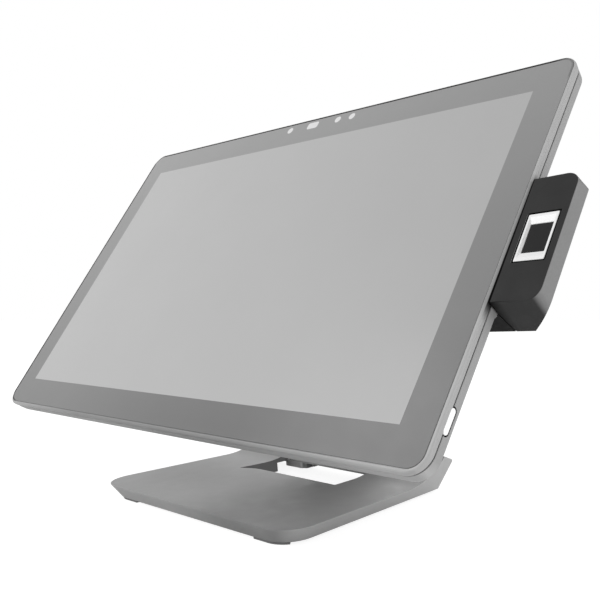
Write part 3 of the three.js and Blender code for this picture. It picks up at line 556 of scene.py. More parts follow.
MAT = {}
MAT["border"] = surface("glass_print", 150, 0.34, spec=0.35, coat=0.25, coat_rough=0.22, mottle=0.012, grain=2600,
                        grain_depth=0.002, edge=0.0, rough_var=0.03, level=border_painted_shading)
MAT["outline"] = surface("glass_print_edge_painted_shade", 150, 0.34, spec=0.35, coat=0.25, coat_rough=0.22, mottle=0.012, grain=2600,
                         grain_depth=0.002, edge=0.0, rough_var=0.03, level=outline_painted_shade, dull=edge_shade_mask)
MAT["panel"] = surface("picture_area", 186, 0.42, spec=0.3, coat=0.2, coat_rough=0.25, mottle=0.01, grain=3200,
                       grain_depth=0.001, edge=0.0, rough_var=0.02, level=screen_painted_light)
MAT["aperture"] = surface("clear_print", 236, 0.25, spec=0.5, coat=0.3, mottle=0.015, grain=2600, grain_depth=0.001,
                          edge=0.0, rough_var=0.03)
MAT["glass_edge"] = surface("glass_edge", 96, 0.2, spec=0.6, mottle=0.02, grain=900, grain_depth=0.002, edge=0.0)
MAT["frame"] = surface("frame_satin", 190, 0.52, metal=0.1, spec=0.35, mottle=0.03, grain=2200, grain_depth=0.006,
                       edge=0.25, wear=0.05, level=lip_painted_shade, dull=True)
# the shell's faces that look down the head are painted a darker grey: painted shade
MAT["shell"] = surface("shell_satin", 174, 0.5, metal=0.0, spec=0.4, mottle=0.03, grain=1500, grain_depth=0.02,
                       edge=0.3, wear=0.12, tones=[(tuple(-c for c in HEAD_UP), 0.6, 0.97, 152)], level=shell_painted_light)
MAT["foot"] = surface("foot_satin", 168, 0.55, metal=0.1, spec=0.35, mottle=0.04, grain=1300, grain_depth=0.03,
                      edge=0.0, wear=0.0, rough_var=0.08, level=foot_painted_shading)
MAT["arm"] = surface("arm_satin", 190, 0.45, metal=0.1, spec=0.45, mottle=0.03, grain=1800, grain_depth=0.01,
                     edge=0.4, wear=0.2)
# the reader's right side is painted much lighter and its downward faces a little lighter: painted light by facing
MAT["reader"] = surface("reader_charcoal", 43, 0.62, spec=0.25, mottle=0.06, grain=1100, grain_depth=0.04, edge=0.3,
                        wear=0.04, tones=[((1, 0, 0), 0.5, 1.02, 148), (tuple(-c for c in HEAD_UP), 0.4, 0.95, 56)], level=reader_painted_shade, dull=True)
MAT["hook"] = surface("reader_back_moulding", 30, 0.62, spec=0.2, mottle=0.06, grain=1100, grain_depth=0.04, edge=0.3,
                      wear=0.04)
MAT["dark"] = surface("charcoal_moulding", 58, 0.55, spec=0.4, mottle=0.06, grain=1100, grain_depth=0.04, edge=0.3,
                      wear=0.06)
MAT["black"] = surface("black_moulding", 40, 0.45, spec=0.45, mottle=0.06, grain=1200, grain_depth=0.03, edge=0.2)
# near-black for the gap round the button: painted shade
MAT["gap"] = surface("gap_painted_shade", 22, 0.8, spec=0.1, mottle=0.05, grain=1200, grain_depth=0.02, edge=0.0)
MAT["sensor"] = surface("sensor_glass", 15, 0.3, spec=0.25, coat=0.15, coat_rough=0.15, mottle=0.02, grain=2200,
                        grain_depth=0.002, edge=0.15, rough_var=0.03)
# glow: a painted glow that makes the white button read brighter; the status lamp shares this material
MAT["white"] = surface("white_gloss", 250, 0.25, spec=0.5, coat=0.35, mottle=0.008, grain=1600, grain_depth=0.003,
                       edge=0.2, rough_var=0.03, glow=0.28)
# the rim's faces that look right are painted darker (painted shade), and the rim has a faint painted glow
MAT["rim"] = surface("sensor_rim_gloss", 244, 0.3, spec=0.45, coat=0.2, mottle=0.008, grain=1600, grain_depth=0.003,
                     edge=0.0, rough_var=0.03, tones=[((1, 0, 0), 0.08, 0.5, 232)], glow=0.06)
MAT["slot"] = surface("glass_seal_grey", 186, 0.7, spec=0.2, mottle=0.04, grain=900, grain_depth=0.02, edge=0.0,
                      level=seal_painted_shade, dull=edge_shade_mask)
# the joint's near-black is painted shade for the gap, and its lighter top is painted light
MAT["joint"] = surface("joint_painted_shade", 30, 0.85, spec=0.08, mottle=0.05, grain=1200, grain_depth=0.02, edge=0.0,
                       level=joint_painted_light)
# near-black for the gap round the sensor frame: painted shade
MAT["void"] = surface("gap_painted_shade_deep", 8, 0.9, spec=0.02, mottle=0.05, grain=1200, grain_depth=0.02, edge=0.0)
# the rear pads are painted lighter than the front ones: painted light against the shade under the plate
MAT["pad_rear"] = surface("rear_pad_painted_light", 160, 0.8, spec=0.25, mottle=0.07, grain=700, grain_depth=0.05, edge=0.3)
MAT["pad"] = surface("foot_pad_grey", 126, 0.8, spec=0.25, mottle=0.07, grain=700, grain_depth=0.05, edge=0.3)
MAT["steel"] = surface("zinc_steel", 172, 0.34, metal=0.95, mottle=0.05, grain=900, grain_depth=0.012,
                       stretch=(1.0, 9.0, 9.0), edge=0.25, wear=0.15)
MAT["aluminium"] = surface("bare_aluminium", 190, 0.36, metal=0.95, mottle=0.04, grain=1000, grain_depth=0.01,
                           stretch=(1.0, 7.0, 7.0), edge=0.2)
MAT["brass"] = surface("washer_brass", 190, 0.36, metal=0.95, mottle=0.05, grain=900, grain_depth=0.01, edge=0.2,
                       tint=(1.0, 0.83, 0.5))
MAT["rubber"] = surface("rubber", 42, 0.82, spec=0.25, mottle=0.08, grain=700, grain_depth=0.05, edge=0.3)
MAT["board"] = surface("solder_resist", 96, 0.5, spec=0.5, coat=0.3, mottle=0.08, mottle_scale=60, grain=600,
                       grain_depth=0.02, edge=0.0, tint=(0.35, 1.0, 0.6))

# ============================================================ cover glass
GLASS = dict(w=528.0, h=321.5, r=11.0, cy=0.75)
AV, ACTIVE = 153.8, (238.03, 133.89)


def glass_ring(inset):
    return rounded(GLASS["w"] - 2 * inset, GLASS["h"] - 2 * inset, GLASS["r"] - inset, 0, GLASS["cy"], 10)


def flat_with_islands(body, outline_ids, outline, z, islands):
    """Fills a flat face from its outline inwards, with each island's faces in its own material."""
    pts = [Vector(p) for p in outline]
    edges = [(i, (i + 1) % len(outline)) for i in range(len(outline))]
    for loop, _ in islands:
        s = len(pts)
        pts += [Vector(p) for p in loop]
        edges += [(s + i, s + (i + 1) % len(loop)) for i in range(len(loop))]
    out, _, faces, vert_from, _, _ = delaunay_2d_cdt(pts, edges, [], 1, 1e-5)
    ids = []
    for k, src in enumerate(vert_from):
        hit = [s for s in src if s < len(outline)]
        if hit:
            ids.append(outline_ids[hit[0]])
        else:
            body.verts.append((out[k].x, out[k].y, z))
            ids.append(len(body.verts) - 1)

    def inside(p, loop):
        c = False
        for i in range(len(loop)):
            (x1, y1), (x2, y2) = loop[i], loop[i - 1]
            if (y1 > p[1]) != (y2 > p[1]) and p[0] < (x2 - x1) * (p[1] - y1) / (y2 - y1) + x1:
                c = not c
        return c

    for f in faces:
        m = (sum(out[i].x for i in f) / len(f), sum(out[i].y for i in f) / len(f))
        mat = 0
        for loop, which in islands:
            if inside(m, loop):
                mat = which
        body.face([ids[i] for i in f], mat)


body = Body()
rings = [at(glass_ring(0.35), -1.8), at(glass_ring(0.1), -1.6), at(glass_ring(0.0), -1.4), at(glass_ring(0.0), -0.35),
         at(glass_ring(0.06), -0.15), at(glass_ring(0.2), -0.04), at(glass_ring(0.4), 0.0)]
rings.append(at(glass_ring(1.3), 0.0))
ids = body.skin(rings, mat=3, cap0=True, cap1=False)
flat_with_islands(body, ids[-1], glass_ring(1.3), 0.0, [
    ([(ACTIVE[0], ACTIVE[1]), (-ACTIVE[0], ACTIVE[1]), (-ACTIVE[0], -ACTIVE[1]), (ACTIVE[0], -ACTIVE[1])], 1),
    (circle(3.5, -32.0, AV), 2),
    (circle(3.5, 31.8, AV), 2),
    (circle(3.5, 49.4, AV), 2),
    (rounded(14.0, 7.7, 2.2, -0.8, AV, 6), 2),
])
glass = to_object("glass_panel", body, PLACE_HEAD, (MAT["border"], MAT["panel"], MAT["aperture"], MAT["outline"]))
shade(glass, 40)
place_piece(glass, "head", ("cover_glass",))

# =========================================================== front frame
BUTTON_V, BUTTON_L, BUTTON_W, BUTTON_N = -125.6, 17.4, 5.0, -6.7
HEAD = (534.0, 326.0, 15.5)


def head_ring(inset, n=12):
    return rounded(HEAD[0] - 2 * inset, HEAD[1] - 2 * inset, HEAD[2] - inset, 0, 0, n)


def pill_ring(grow, x, n=10):
    """The button's outline, standing on the right wall."""
    length, width = BUTTON_L + 2 * grow, BUTTON_W + 2 * grow
    return [(x, a, b) for a, b in rounded(length, width, width / 2 - 0.01, BUTTON_V, BUTTON_N, n)]


def pill_tool(name, grow, x0, x1):
    b = Body()
    b.skin([pill_ring(grow, x0), pill_ring(grow, x1)])
    return to_object(name, b, PLACE_HEAD)


outer = head_ring(0)
pocket = rounded(528.6, 322.1, 11.3, 0, GLASS["cy"], 12)
ledge = rounded(520, 311, 8, 0, 0, 12)
profile = [at(head_ring(1.3), -5.0), at(head_ring(1.3), -4.78), at(head_ring(0.2), -4.74), at(head_ring(0.0), -4.55)]
for k in range(0, 8):
    a = math.radians(90 * k / 7)
    t = 0.80 * (1 - math.cos(a))
    profile.append(at(blend_rings(outer, pocket, t), -0.15 - 1.7 * (1 - math.sin(a))))
profile += [at(blend_rings(outer, pocket, 0.93), -0.17), at(blend_rings(outer, pocket, 1.0), -0.42),
            at(pocket, -2.1), at(ledge, -2.1), at(ledge, -5.0)]
body = Body()
body.skin(profile, loop=True)
bezel = to_object("bezel_frame", body, PLACE_HEAD, (MAT["frame"],))
combine(bezel, pill_tool("t", 0.18, 255.0, 270.0), "DIFFERENCE")
combine(bezel, pill_tool("t", 1.15, 255.0, 263.4), "DIFFERENCE")
tidy(bezel, 0.2)
shade(bezel, 34)
place_piece(bezel, "head", ("front_frame",))

# black ring in the joint behind the frame, stepping round the button: painted shade standing for the dark gap
body = Body()
body.skin([at(head_ring(0.7), -5.78), at(head_ring(0.7), -4.84), at(head_ring(1.24), -4.84), at(head_ring(1.24), -5.05),
           at(head_ring(2.1), -5.05), at(head_ring(2.1), -5.78)], loop=True)
seam_shade = to_object("joint_shadow_ring", body, PLACE_HEAD, (MAT["joint"],))
combine(seam_shade, pill_tool("t", 0.98, 255.0, 270.0), "DIFFERENCE")
shade(seam_shade, 30)
place_piece(seam_shade, "head")
# near-black ring in the gap round the button: painted shade standing for the dark gap
body = Body()
body.skin([pill_ring(0.94, 264.9), pill_ring(0.94, 266.5), pill_ring(0.14, 266.5), pill_ring(0.14, 264.9)], loop=True)
surround = to_object("button_surround", body, PLACE_HEAD, (MAT["gap"],))
below = Body()
below.skin([at(rounded(30, 50, 1, 264, BUTTON_V, 3), -20), at(rounded(30, 50, 1, 264, BUTTON_V, 3), -4.8)])
combine(surround, to_object("t", below, PLACE_HEAD), "INTERSECT")
shade(surround, 30)
place_piece(surround, "head")

# black seal lying in the slot round the glass
body = Body()
body.skin([at(rounded(528.56, 322.06, 11.25, 0, GLASS["cy"], 12), -0.5), at(rounded(528.56, 322.06, 11.25, 0, GLASS["cy"], 12), -2.05),
           at(rounded(528.03, 321.53, 11.0, 0, GLASS["cy"], 12), -2.05), at(rounded(528.03, 321.53, 11.0, 0, GLASS["cy"], 12), -0.38)], loop=True)
seal = to_object("glass_seal", body, PLACE_HEAD, (MAT["slot"],))
shade(seal)
place_piece(seal, "head")

# button: a domed pill with a flange behind the wall
body = Body()
rings = [pill_ring(0.9, 262.0), pill_ring(0.9, 263.1), pill_ring(0.0, 263.2), pill_ring(0.0, 266.5)]
for k in range(1, 6):
    a = math.radians(90 * k / 5)
    rings.append(pill_ring(-0.85 * (1 - math.cos(a)), 266.5 + 0.68 * math.sin(a)))
body.skin(rings)
button = to_object("button_pill", body, PLACE_HEAD, (MAT["white"],))
shade(button, 50)
place_piece(button, "power_button", ("power_button",))

# ============================================================= rear cover
HV = -6.0


def back_ring(w, h, r, n_, cy=0.0):
    return at(rounded(w, h, r, 0, cy, 12), n_)


outer_rings = [
    back_ring(533.5, 325.4, 15.25, -5.84),
    back_ring(534, 325.8, 15.5, -6.08),
    back_ring(534, 326.0, 15.3, -8.5),
    back_ring(534, 325.9, 14.9, -11.8),
    back_ring(533.3, 325.8, 14.7, -12.8),
    back_ring(531.6, 325.5, 14.5, -13.9),
    back_ring(528.8, 324.6, 14.3, -15.1),
    back_ring(524.5, 321.4, 14.0, -16.8),
    back_ring(518.0, 313.5, 13.4, -19.2),
    back_ring(510.0, 303.4, 12.4, -22.0),
    back_ring(503.0, 295.0, 11.6, -24.2),
    back_ring(498.0, 290.2, 11.0, -25.4),
    back_ring(493.0, 285.2, 10.5, -26.0),
    back_ring(390.0, 216.0, 29.0, -26.0, HV),
    back_ring(386.5, 212.5, 27.2, -26.35, HV),
    back_ring(383.6, 209.6, 25.6, -27.3, HV),
    back_ring(372.0, 198.0, 22.0, -33.8, HV),
    back_ring(361.4, 187.4, 18.8, -39.6, HV),
    back_ring(359.2, 185.2, 18.0, -40.9, HV),
    back_ring(355.4, 181.4, 16.8, -41.75, HV),
    back_ring(350.6, 176.6, 15.4, -42.0, HV),
]
inner_rings = [
    back_ring(349, 175, 15, -39.8, HV),
    back_ring(377.6, 203.6, 24, -23.6, HV),
    back_ring(489, 281, 9, -23.6),
    back_ring(516, 306, 11.5, -17.4),
    back_ring(529.6, 318.4, 13.3, -11.1),
    back_ring(529.6, 321.5, 13.3, -5.84),
]
body = Body()
body.skin(inner_rings + outer_rings)
rear = to_object("rear_shell", body, PLACE_HEAD, (MAT["shell"],))


def prism(points, n0, n1):
    b = Body()
    b.skin([at(points, n0), at(points, n1)])
    return b


def many(name, prisms, place):
    total = Body()
    for p in prisms:
        k = len(total.verts)
        total.verts += p.verts
        for f, m in zip(p.faces, p.mats):
            total.face([i + k for i in f], m)
    return to_object(name, total, place)


cutters = []
for i in range(15):
    cutters.append(prism(rounded(4.0, 22.0, 1.95, -112 + i * 16, 63, 5), -44, -36.8))
for i in range(9):
    cutters.append(prism(rounded(3.2, 34.0, 1.55, -150 + i * 7, -53, 5), -44, -36.8))
for s in (-1, 1):
    for i in range(6):
        cutters.append(prism(rounded(24.0, 2.0, 0.95, s * 215, -112 + i * 5, 5), -28, -21))
REAR_SCREWS = [(-236, 128), (236, 128), (-236, -128), (236, -128), (0, 134)]
PLATE_SCREWS = [(-37.5, -37.5), (37.5, -37.5), (-37.5, 37.5), (37.5, 37.5)]
for u, v in REAR_SCREWS:
    cutters.append(prism(circle(4.4, u, v, 28), -28, -25.0))
for u, v in PLATE_SCREWS:
    cutters.append(prism(circle(2.3, u, v, 24), -44, -37))
cutters.append(prism(rounded(26, 12, 5, 0, -60, 6), -44, -37))
combine(rear, many("t", cutters, PLACE_HEAD), "DIFFERENCE")
# connector opening in the housing's lower wall
b = Body()
b.skin([[(x, HV - 120, z) for x, z in rounded(140, 8.5, 1.2, 0, -33.75, 4)],
        [(x, HV - 88, z) for x, z in rounded(140, 8.5, 1.2, 0, -33.75, 4)]])
combine(rear, to_object("t", b, PLACE_HEAD), "DIFFERENCE")
combine(rear, pill_tool("t", 0.98, 258.0, 270.0), "DIFFERENCE")
tidy(rear, 0.2)
shade(rear, 30)
place_piece(rear, "head", ("rear_cover",))


# ================================================================= screws
def screw(name, place, x, y, head_top, head_bottom, shank_end, head_r, shank_r, body_name, node=None, mat="steel"):
    """A pan head with a hexagon socket, drawn along +z of the place and standing from head_bottom to head_top."""
    up = 1 if head_top > head_bottom else -1
    h = abs(head_top - head_bottom)
    b = Body()
    n = 36

    def ringz(r, z):
        return at(circle(r, x, y, n), z)

    def hexagon(r, z):
        # hexagon sampled at the same number of points as the circles
        pts = []
        for i in range(n):
            a = 2 * math.pi * i / n
            k = (a % (math.pi / 3)) - math.pi / 6
            rr = r * math.cos(math.pi / 6) / math.cos(k)
            pts.append((x + rr * math.cos(a), y + rr * math.sin(a), z))
        return pts

    dome = []
    for k in range(0, 6):
        a = math.radians(90 * k / 5)
        dome.append(ringz(head_r - 0.42 * h * (1 - math.cos(a)), head_bottom + up * (h * 0.58 + 0.42 * h * math.sin(a))))
    rings = [ringz(shank_r * 0.75, shank_end), ringz(shank_r, shank_end + up * 0.5), ringz(shank_r, head_bottom),
             ringz(head_r - 0.12, head_bottom), ringz(head_r, head_bottom + up * 0.12)] + dome
    rings += [hexagon(head_r * 0.56, head_top), hexagon(head_r * 0.52, head_top - up * 0.12),
              hexagon(head_r * 0.5, head_top - up * h * 0.62), ringz(head_r * 0.2, head_top - up * h * 0.74)]
    b.skin(rings)
    obj = to_object(name, b, place, (MAT[mat],))
    shade(obj, 35)
    place_piece(obj, body_name, (node,) if node else ())
    return obj


for i, (u, v) in enumerate(PLATE_SCREWS):
    screw(f"plate_screw_{i + 1}", PLACE_HEAD, u, v, -48.1, -45.6, -29.0, 3.8, 1.8, "head", f"head_bracket_screw_{i + 1}")
for i, (u, v) in enumerate(REAR_SCREWS):
    screw(f"rear_screw_{i + 1}", PLACE_HEAD, u, v, -25.9, -24.9, -23.0, 3.6, 1.6, "head")
for i, (x, y) in enumerate([(-96, -70), (96, -70), (-96, -10), (96, -10)]):
    screw(f"cover_screw_{i + 1}", PLACE_ROW, x, y, 0.9, 1.9, 9.4, 3.1, 1.3, "base", f"bottom_cover_screw_{i + 1}")
for i, (x, y) in enumerate([(-52.5, 86.5), (-52.5, 96), (52.5, 86.5), (52.5, 96)]):
    screw(f"hinge_screw_{i + 1}", PLACE_ROW, x, y, 34.6, 32.6, 21.2, 2.9, 1.4, "base", f"hinge_bracket_screw_{i + 1}")

# =================================================================== foot
HALF, FRONT, TOP, BOTTOM = 131.8, -100.4, 15.0, 2.0
R_TOP, R_UNDER, UNDER_X, UNDER_Y = 27.0, 23.0, 8.4, 6.9
SWEEP_Y, LIP_IN, LIP_OUT, LIP_REAR = 35.0, (90.0, 35.6), (103.0, 30.0), 89.0
rise, run = LIP_IN[1] - TOP, LIP_IN[0] - SWEEP_Y
SWEEP_R = (run ** 2 + rise ** 2) / (2 * rise)


def sweep_z(y):
    return TOP if y <= SWEEP_Y else TOP + SWEEP_R - math.sqrt(SWEEP_R ** 2 - (y - SWEEP_Y) ** 2)


ux, uf = HALF - UNDER_X, FRONT + UNDER_Y
stations = []  # top point, bottom point, outward direction on the top, slope of the top surface there
for i in range(0, 19):
    a = math.radians(90 * i / 18)
    c, d = math.sin(a), 1 - math.cos(a)
    stations.append(((HALF - R_TOP + R_TOP * c, FRONT + R_TOP * d, TOP), (ux - R_UNDER + R_UNDER * c, uf + R_UNDER * d, BOTTOM),
                     (math.sin(a), -math.cos(a))))
for i in range(0, 25):
    y = SWEEP_Y + (LIP_IN[0] - 1.6 - SWEEP_Y) * i / 24
    stations.append(((HALF, y, sweep_z(y)), (ux, min(y, LIP_REAR - 1.2), BOTTOM), (1.0, 0.0)))
# the rear lip: a soft crest, then a sloping face, then the rear wall
crest = [(89.3, 35.28), (90.2, 35.42), (91.2, 35.02), (95.0, 33.4), (101.2, 30.75), (102.4, 30.1), (102.85, 29.4), (102.7, 28.6)]
for k, (y, z) in enumerate(crest):
    stations.append(((HALF - 0.06 * k, y, z), (ux, LIP_REAR - 1.1 + 0.14 * k, BOTTOM), (1.0, 0.0)))


def foot_ring(top, under, out, r=1.3, rb=0.6):
    """Right-hand outline of one station, from the top surface round the side to the underside."""
    t, b = Vector(top), Vector(under)
    o = Vector((out[0], out[1], 0))
    down = (b - t).normalized()
    p_in, p_side = t - o * r, t + down * r
    pts = [p_in]
    for q in (0.25, 0.5, 0.75):
        pts.append(p_in * (1 - q) ** 2 + t * 2 * q * (1 - q) + p_side * q * q)
    pts.append(p_side)
    b_side, b_in = b - down * rb, b - o * rb
    pts.append(b_side)
    pts.append(b_side * 0.25 + b * 0.5 + b_in * 0.25)
    pts.append(b_in)
    return pts


body = Body()
right = [body.ring(foot_ring(*s)) for s in stations]
left = [body.ring([(-x, y, z) for x, y, z in (body.verts[i] for i in ring_)]) for ring_ in right]
for k in range(len(stations) - 1):
    for j in range(len(right[0]) - 1):
        body.face((right[k][j], right[k][j + 1], right[k + 1][j + 1], right[k + 1][j]))
        body.face((left[k][j + 1], left[k][j], left[k + 1][j], left[k + 1][j + 1]))
    body.face((left[k][0], right[k][0], right[k + 1][0], left[k + 1][0]))
    body.face((right[k][-1], left[k][-1], left[k + 1][-1], right[k + 1][-1]))
for j in range(len(right[0]) - 1):
    body.face((left[0][j], left[0][j + 1], right[0][j + 1], right[0][j]))
    body.face((right[-1][j], right[-1][j + 1], left[-1][j + 1], left[-1][j]))
foot = to_object("foot_plate", body, PLACE_ROW, (MAT["foot"],))


def block(x0, x1, y0, y1, z0, z1):
    b = Body()
    b.skin([[(x0, y0, z0), (x1, y0, z0), (x1, y1, z0), (x0, y1, z0)], [(x0, y0, z1), (x1, y0, z1), (x1, y1, z1), (x0, y1, z1)]])
    return b


def pull_x(profile_yz, x0, x1):
    b = Body()
    b.skin([[(x0, y, z) for y, z in profile_yz], [(x1, y, z) for y, z in profile_yz]])
    return b


def pull_y(profile_xz, y0, y1):
    b = Body()
    b.skin([[(x, y0, z) for x, z in profile_xz], [(x, y1, z) for x, z in profile_xz]])
    return b


window_line = [p for p in rounded(126, 52, 1.4, 0, 38, 6) if not (p[0] < -60 and p[1] < 15)]
cut_at = max(range(len(window_line)), key=lambda i: (window_line[i][0] < -62.9, -window_line[i][1]))
flare = [(-63.6, 24.0), (-64.9, 14.0), (-66.3, 6.6), (-66.4, 5.3), (-65.6, 4.9), (-60.0, 7.2), (-54.0, 9.8), (-49.0, 11.4), (-45.0, 12.0)]
window = prism(window_line[:cut_at + 1] + flare + window_line[cut_at + 1:], -5, 60)
combine(foot, many("t", [window], PLACE_ROW), "DIFFERENCE")
combine(foot, many("t", [prism(rounded(224, 88, 16, 0, -40, 10), -1, 11.0)], PLACE_ROW), "DIFFERENCE")
combine(foot, many("t", [block(-117, 117, 48.5, 84, -1, 11.5)], PLACE_ROW), "DIFFERENCE")
hollow = [(58.5, 10.5), (68, 10.5), (84, 10.5), (93.5, 27.5), (86, 27.5), (72, 16.5), (60, 12.5)]
combine(foot, many("t", [pull_x(hollow, 62, 116), pull_x(hollow, -116, -62)], PLACE_ROW), "DIFFERENCE")
combine(foot, many("t", [block(-46, 46, 60, 110, -1, 11.5)], PLACE_ROW), "DIFFERENCE")
combine(foot, many("t", [block(-58, 58, 74, 110, 28, 60)], PLACE_ROW), "DIFFERENCE")
for s in (-1, 1):
    combine(foot, many("t", [prism(rounded(30, 16.2, 4, s * 65, 79.6, 6), 2.0, 14.0)], PLACE_ROW), "UNION")
combine(foot, many("t", [prism(circle(5, x, y, 28), 4.2, 11.5) for x, y in ((-96, -70), (96, -70), (-96, -10), (96, -10))], PLACE_ROW), "UNION")
tidy(foot, 0.15)


def on_window(a, b):
    def wall(p):
        return (abs(abs(p.x) - 63) < 0.02 and 11.9 < p.y < 64.1) or (abs(p.x) < 63.1 and (abs(p.y - 12) < 0.02 or abs(p.y - 64) < 0.02)) or (
            p.x < -44 and 4.5 < p.y < 30 and p.x > -67 and p.z < 15.1) or (
            abs(p.x) > 61.5 and abs(p.x) < 63.1 and (p.y < 13.5 or p.y > 62.5))
    return wall(a) and wall(b) and a.z > 14.5 and b.z > 14.5


round_edges(foot, 0.9, 3, 40, on_window)
shade(foot, 28)
place_piece(foot, "base", ("base_plate",))

# ================================================================= reader
R_W, R_V0, R_V1 = 34.4, -48.0, 47.4


def reader_outline(inset, r_top, r_bottom, n=14):
    a1, b0, b1 = R_W - inset, R_V0 + inset, R_V1 - inset
    k = 0.35
    pts = [(inset, b0 + k), (inset + k, b0)]
    for i in range(n + 1):
        t = math.radians(270 + 90 * i / n)
        pts.append((a1 - r_bottom + r_bottom * math.cos(t), b0 + r_bottom + r_bottom * math.sin(t)))
    for i in range(n + 1):
        t = math.radians(90 * i / n)
        pts.append((a1 - r_top + r_top * math.cos(t), b1 - r_top + r_top * math.sin(t)))
    return pts + [(inset + k, b1), (inset, b1 - k)]


body = Body()
rings = [at(reader_outline(0, 3.5, 10), -31.6), at(reader_outline(0, 3.5, 10), -13.6)]
rings += [at(reader_outline(0, 3.5 + 6.5 * q, 10), -13.6 + 13.0 * q) for q in (0.25, 0.5, 0.75, 1.0)]
rings += [at(reader_outline(0.08, 9.9, 9.9), -0.3), at(reader_outline(0.25, 9.75, 9.75), -0.1), at(reader_outline(0.55, 9.45, 9.45), 0.0)]
body.skin(rings)
front = to_object("reader_front", body, PLACE_READER, (MAT["reader"],))
combine(front, many("t", [pull_y([(-5, 5), (39.4, 5), (34.4, -13.6), (18.15, -30.6), (-5, -30.6)], -60, 60)], PLACE_READER), "INTERSECT")
body = Body()
body.skin([at(reader_outline(1.8, 3.0, 8.2), -40), at(reader_outline(1.8, 8.2, 8.2), -1.8)])
core = to_object("t", body, PLACE_READER)
combine(core, many("t2", [pull_y([(-5, 5), (39.4, 5), (32.6, -13.0), (17.4, -28.8), (-5, -28.8)], -60, 60)], PLACE_READER), "INTERSECT")
combine(front, core, "DIFFERENCE")
combine(front, many("t", [pull_y([(-30, -12.3), (-30, -33), (4.4, -33), (0.9, -12.1)], -60, 60)], PLACE_READER), "DIFFERENCE")
SENSOR = (17.6, -0.45, 21.7, 35.7)
combine(front, many("t", [prism(rounded(SENSOR[2] + 2.4, SENSOR[3] + 2.4, 0.8, SENSOR[0], SENSOR[1], 4), -5, 3)], PLACE_READER), "DIFFERENCE")
tidy(front, 0.3)


def reader_edges(a, b):
    chamfer = all(abs((p.x - 34.4) * 17 - (p.z + 13.6) * 16.25) < 6 and p.z < -13.3 for p in (a, b))
    return chamfer


round_edges(front, 0.3, 2, 30, reader_edges, PLACE_READER)
shade(front, 30)
place_piece(front, "head", ("reader_front_shell",))

# a short lug of the rear cover that runs out beside the reader's lower end
body = Body()
lug = [(-46.2, -11.9), (-52.2, -11.9), (-47.4, -14.6), (-46.2, -14.6)]
body.skin([[(262.0, v, n) for v, n in lug], [(266.9, v, n) for v, n in lug]])
piece = to_object("reader_lug", body, PLACE_HEAD, (MAT["shell"],))
shade(piece, 30)
place_piece(piece, "head")

# sensor frame: bright, with a flat rim and a sloping bezel down to the window
WIN = (17.5, -0.15, 16.6, 22.2)


def sensor_ring(w, h, r, c, cx=SENSOR[0], cy=SENSOR[1]):
    return at(rounded(w, h, r, cx, cy, 5), c)


# near-black ring in the gap round the sensor frame: painted shade standing for the dark gap
body = Body()
body.skin([sensor_ring(24.0, 38.0, 0.8, -1.6), sensor_ring(24.0, 38.0, 0.8, -0.42), sensor_ring(21.8, 35.8, 0.7, -0.42),
           sensor_ring(21.8, 35.8, 0.7, -1.6)], loop=True)
shadow_gap = to_object("sensor_shadow_ring", body, PLACE_READER, (MAT["void"],))
shade(shadow_gap, 30)
place_piece(shadow_gap, "head")
body = Body()
body.skin([
    sensor_ring(21.7, 35.7, 0.7, -4.2), sensor_ring(21.7, 35.7, 0.7, -0.45), sensor_ring(21.6, 35.6, 0.65, -0.28),
    sensor_ring(21.3, 35.3, 0.55, -0.16), sensor_ring(18.9, 31.2, 0.6, -0.15, WIN[0], WIN[1]),
    sensor_ring(18.6, 30.6, 0.6, -0.25, WIN[0], WIN[1]),
    sensor_ring(16.8, 22.5, 0.4, -1.62, WIN[0], WIN[1]), sensor_ring(16.6, 22.2, 0.3, -1.8, WIN[0], WIN[1]),
    sensor_ring(16.6, 22.2, 0.3, -4.2, WIN[0], WIN[1]),
], loop=True)
rim = to_object("sensor_bezel", body, PLACE_READER, (MAT["rim"],))
shade(rim, 24)
place_piece(rim, "head", ("sensor_frame",))
body = Body()
body.skin([sensor_ring(16.2, 21.8, 0.3, -4.0, WIN[0], WIN[1]), sensor_ring(16.2, 21.8, 0.3, -2.1, WIN[0], WIN[1]),
           sensor_ring(16.05, 21.65, 0.28, -1.94, WIN[0], WIN[1]), sensor_ring(15.7, 21.3, 0.2, -1.88, WIN[0], WIN[1])])
pane = to_object("sensor_pane", body, PLACE_READER, (MAT["sensor"],))
shade(pane, 40)
place_piece(pane, "head", ("sensor_window",))

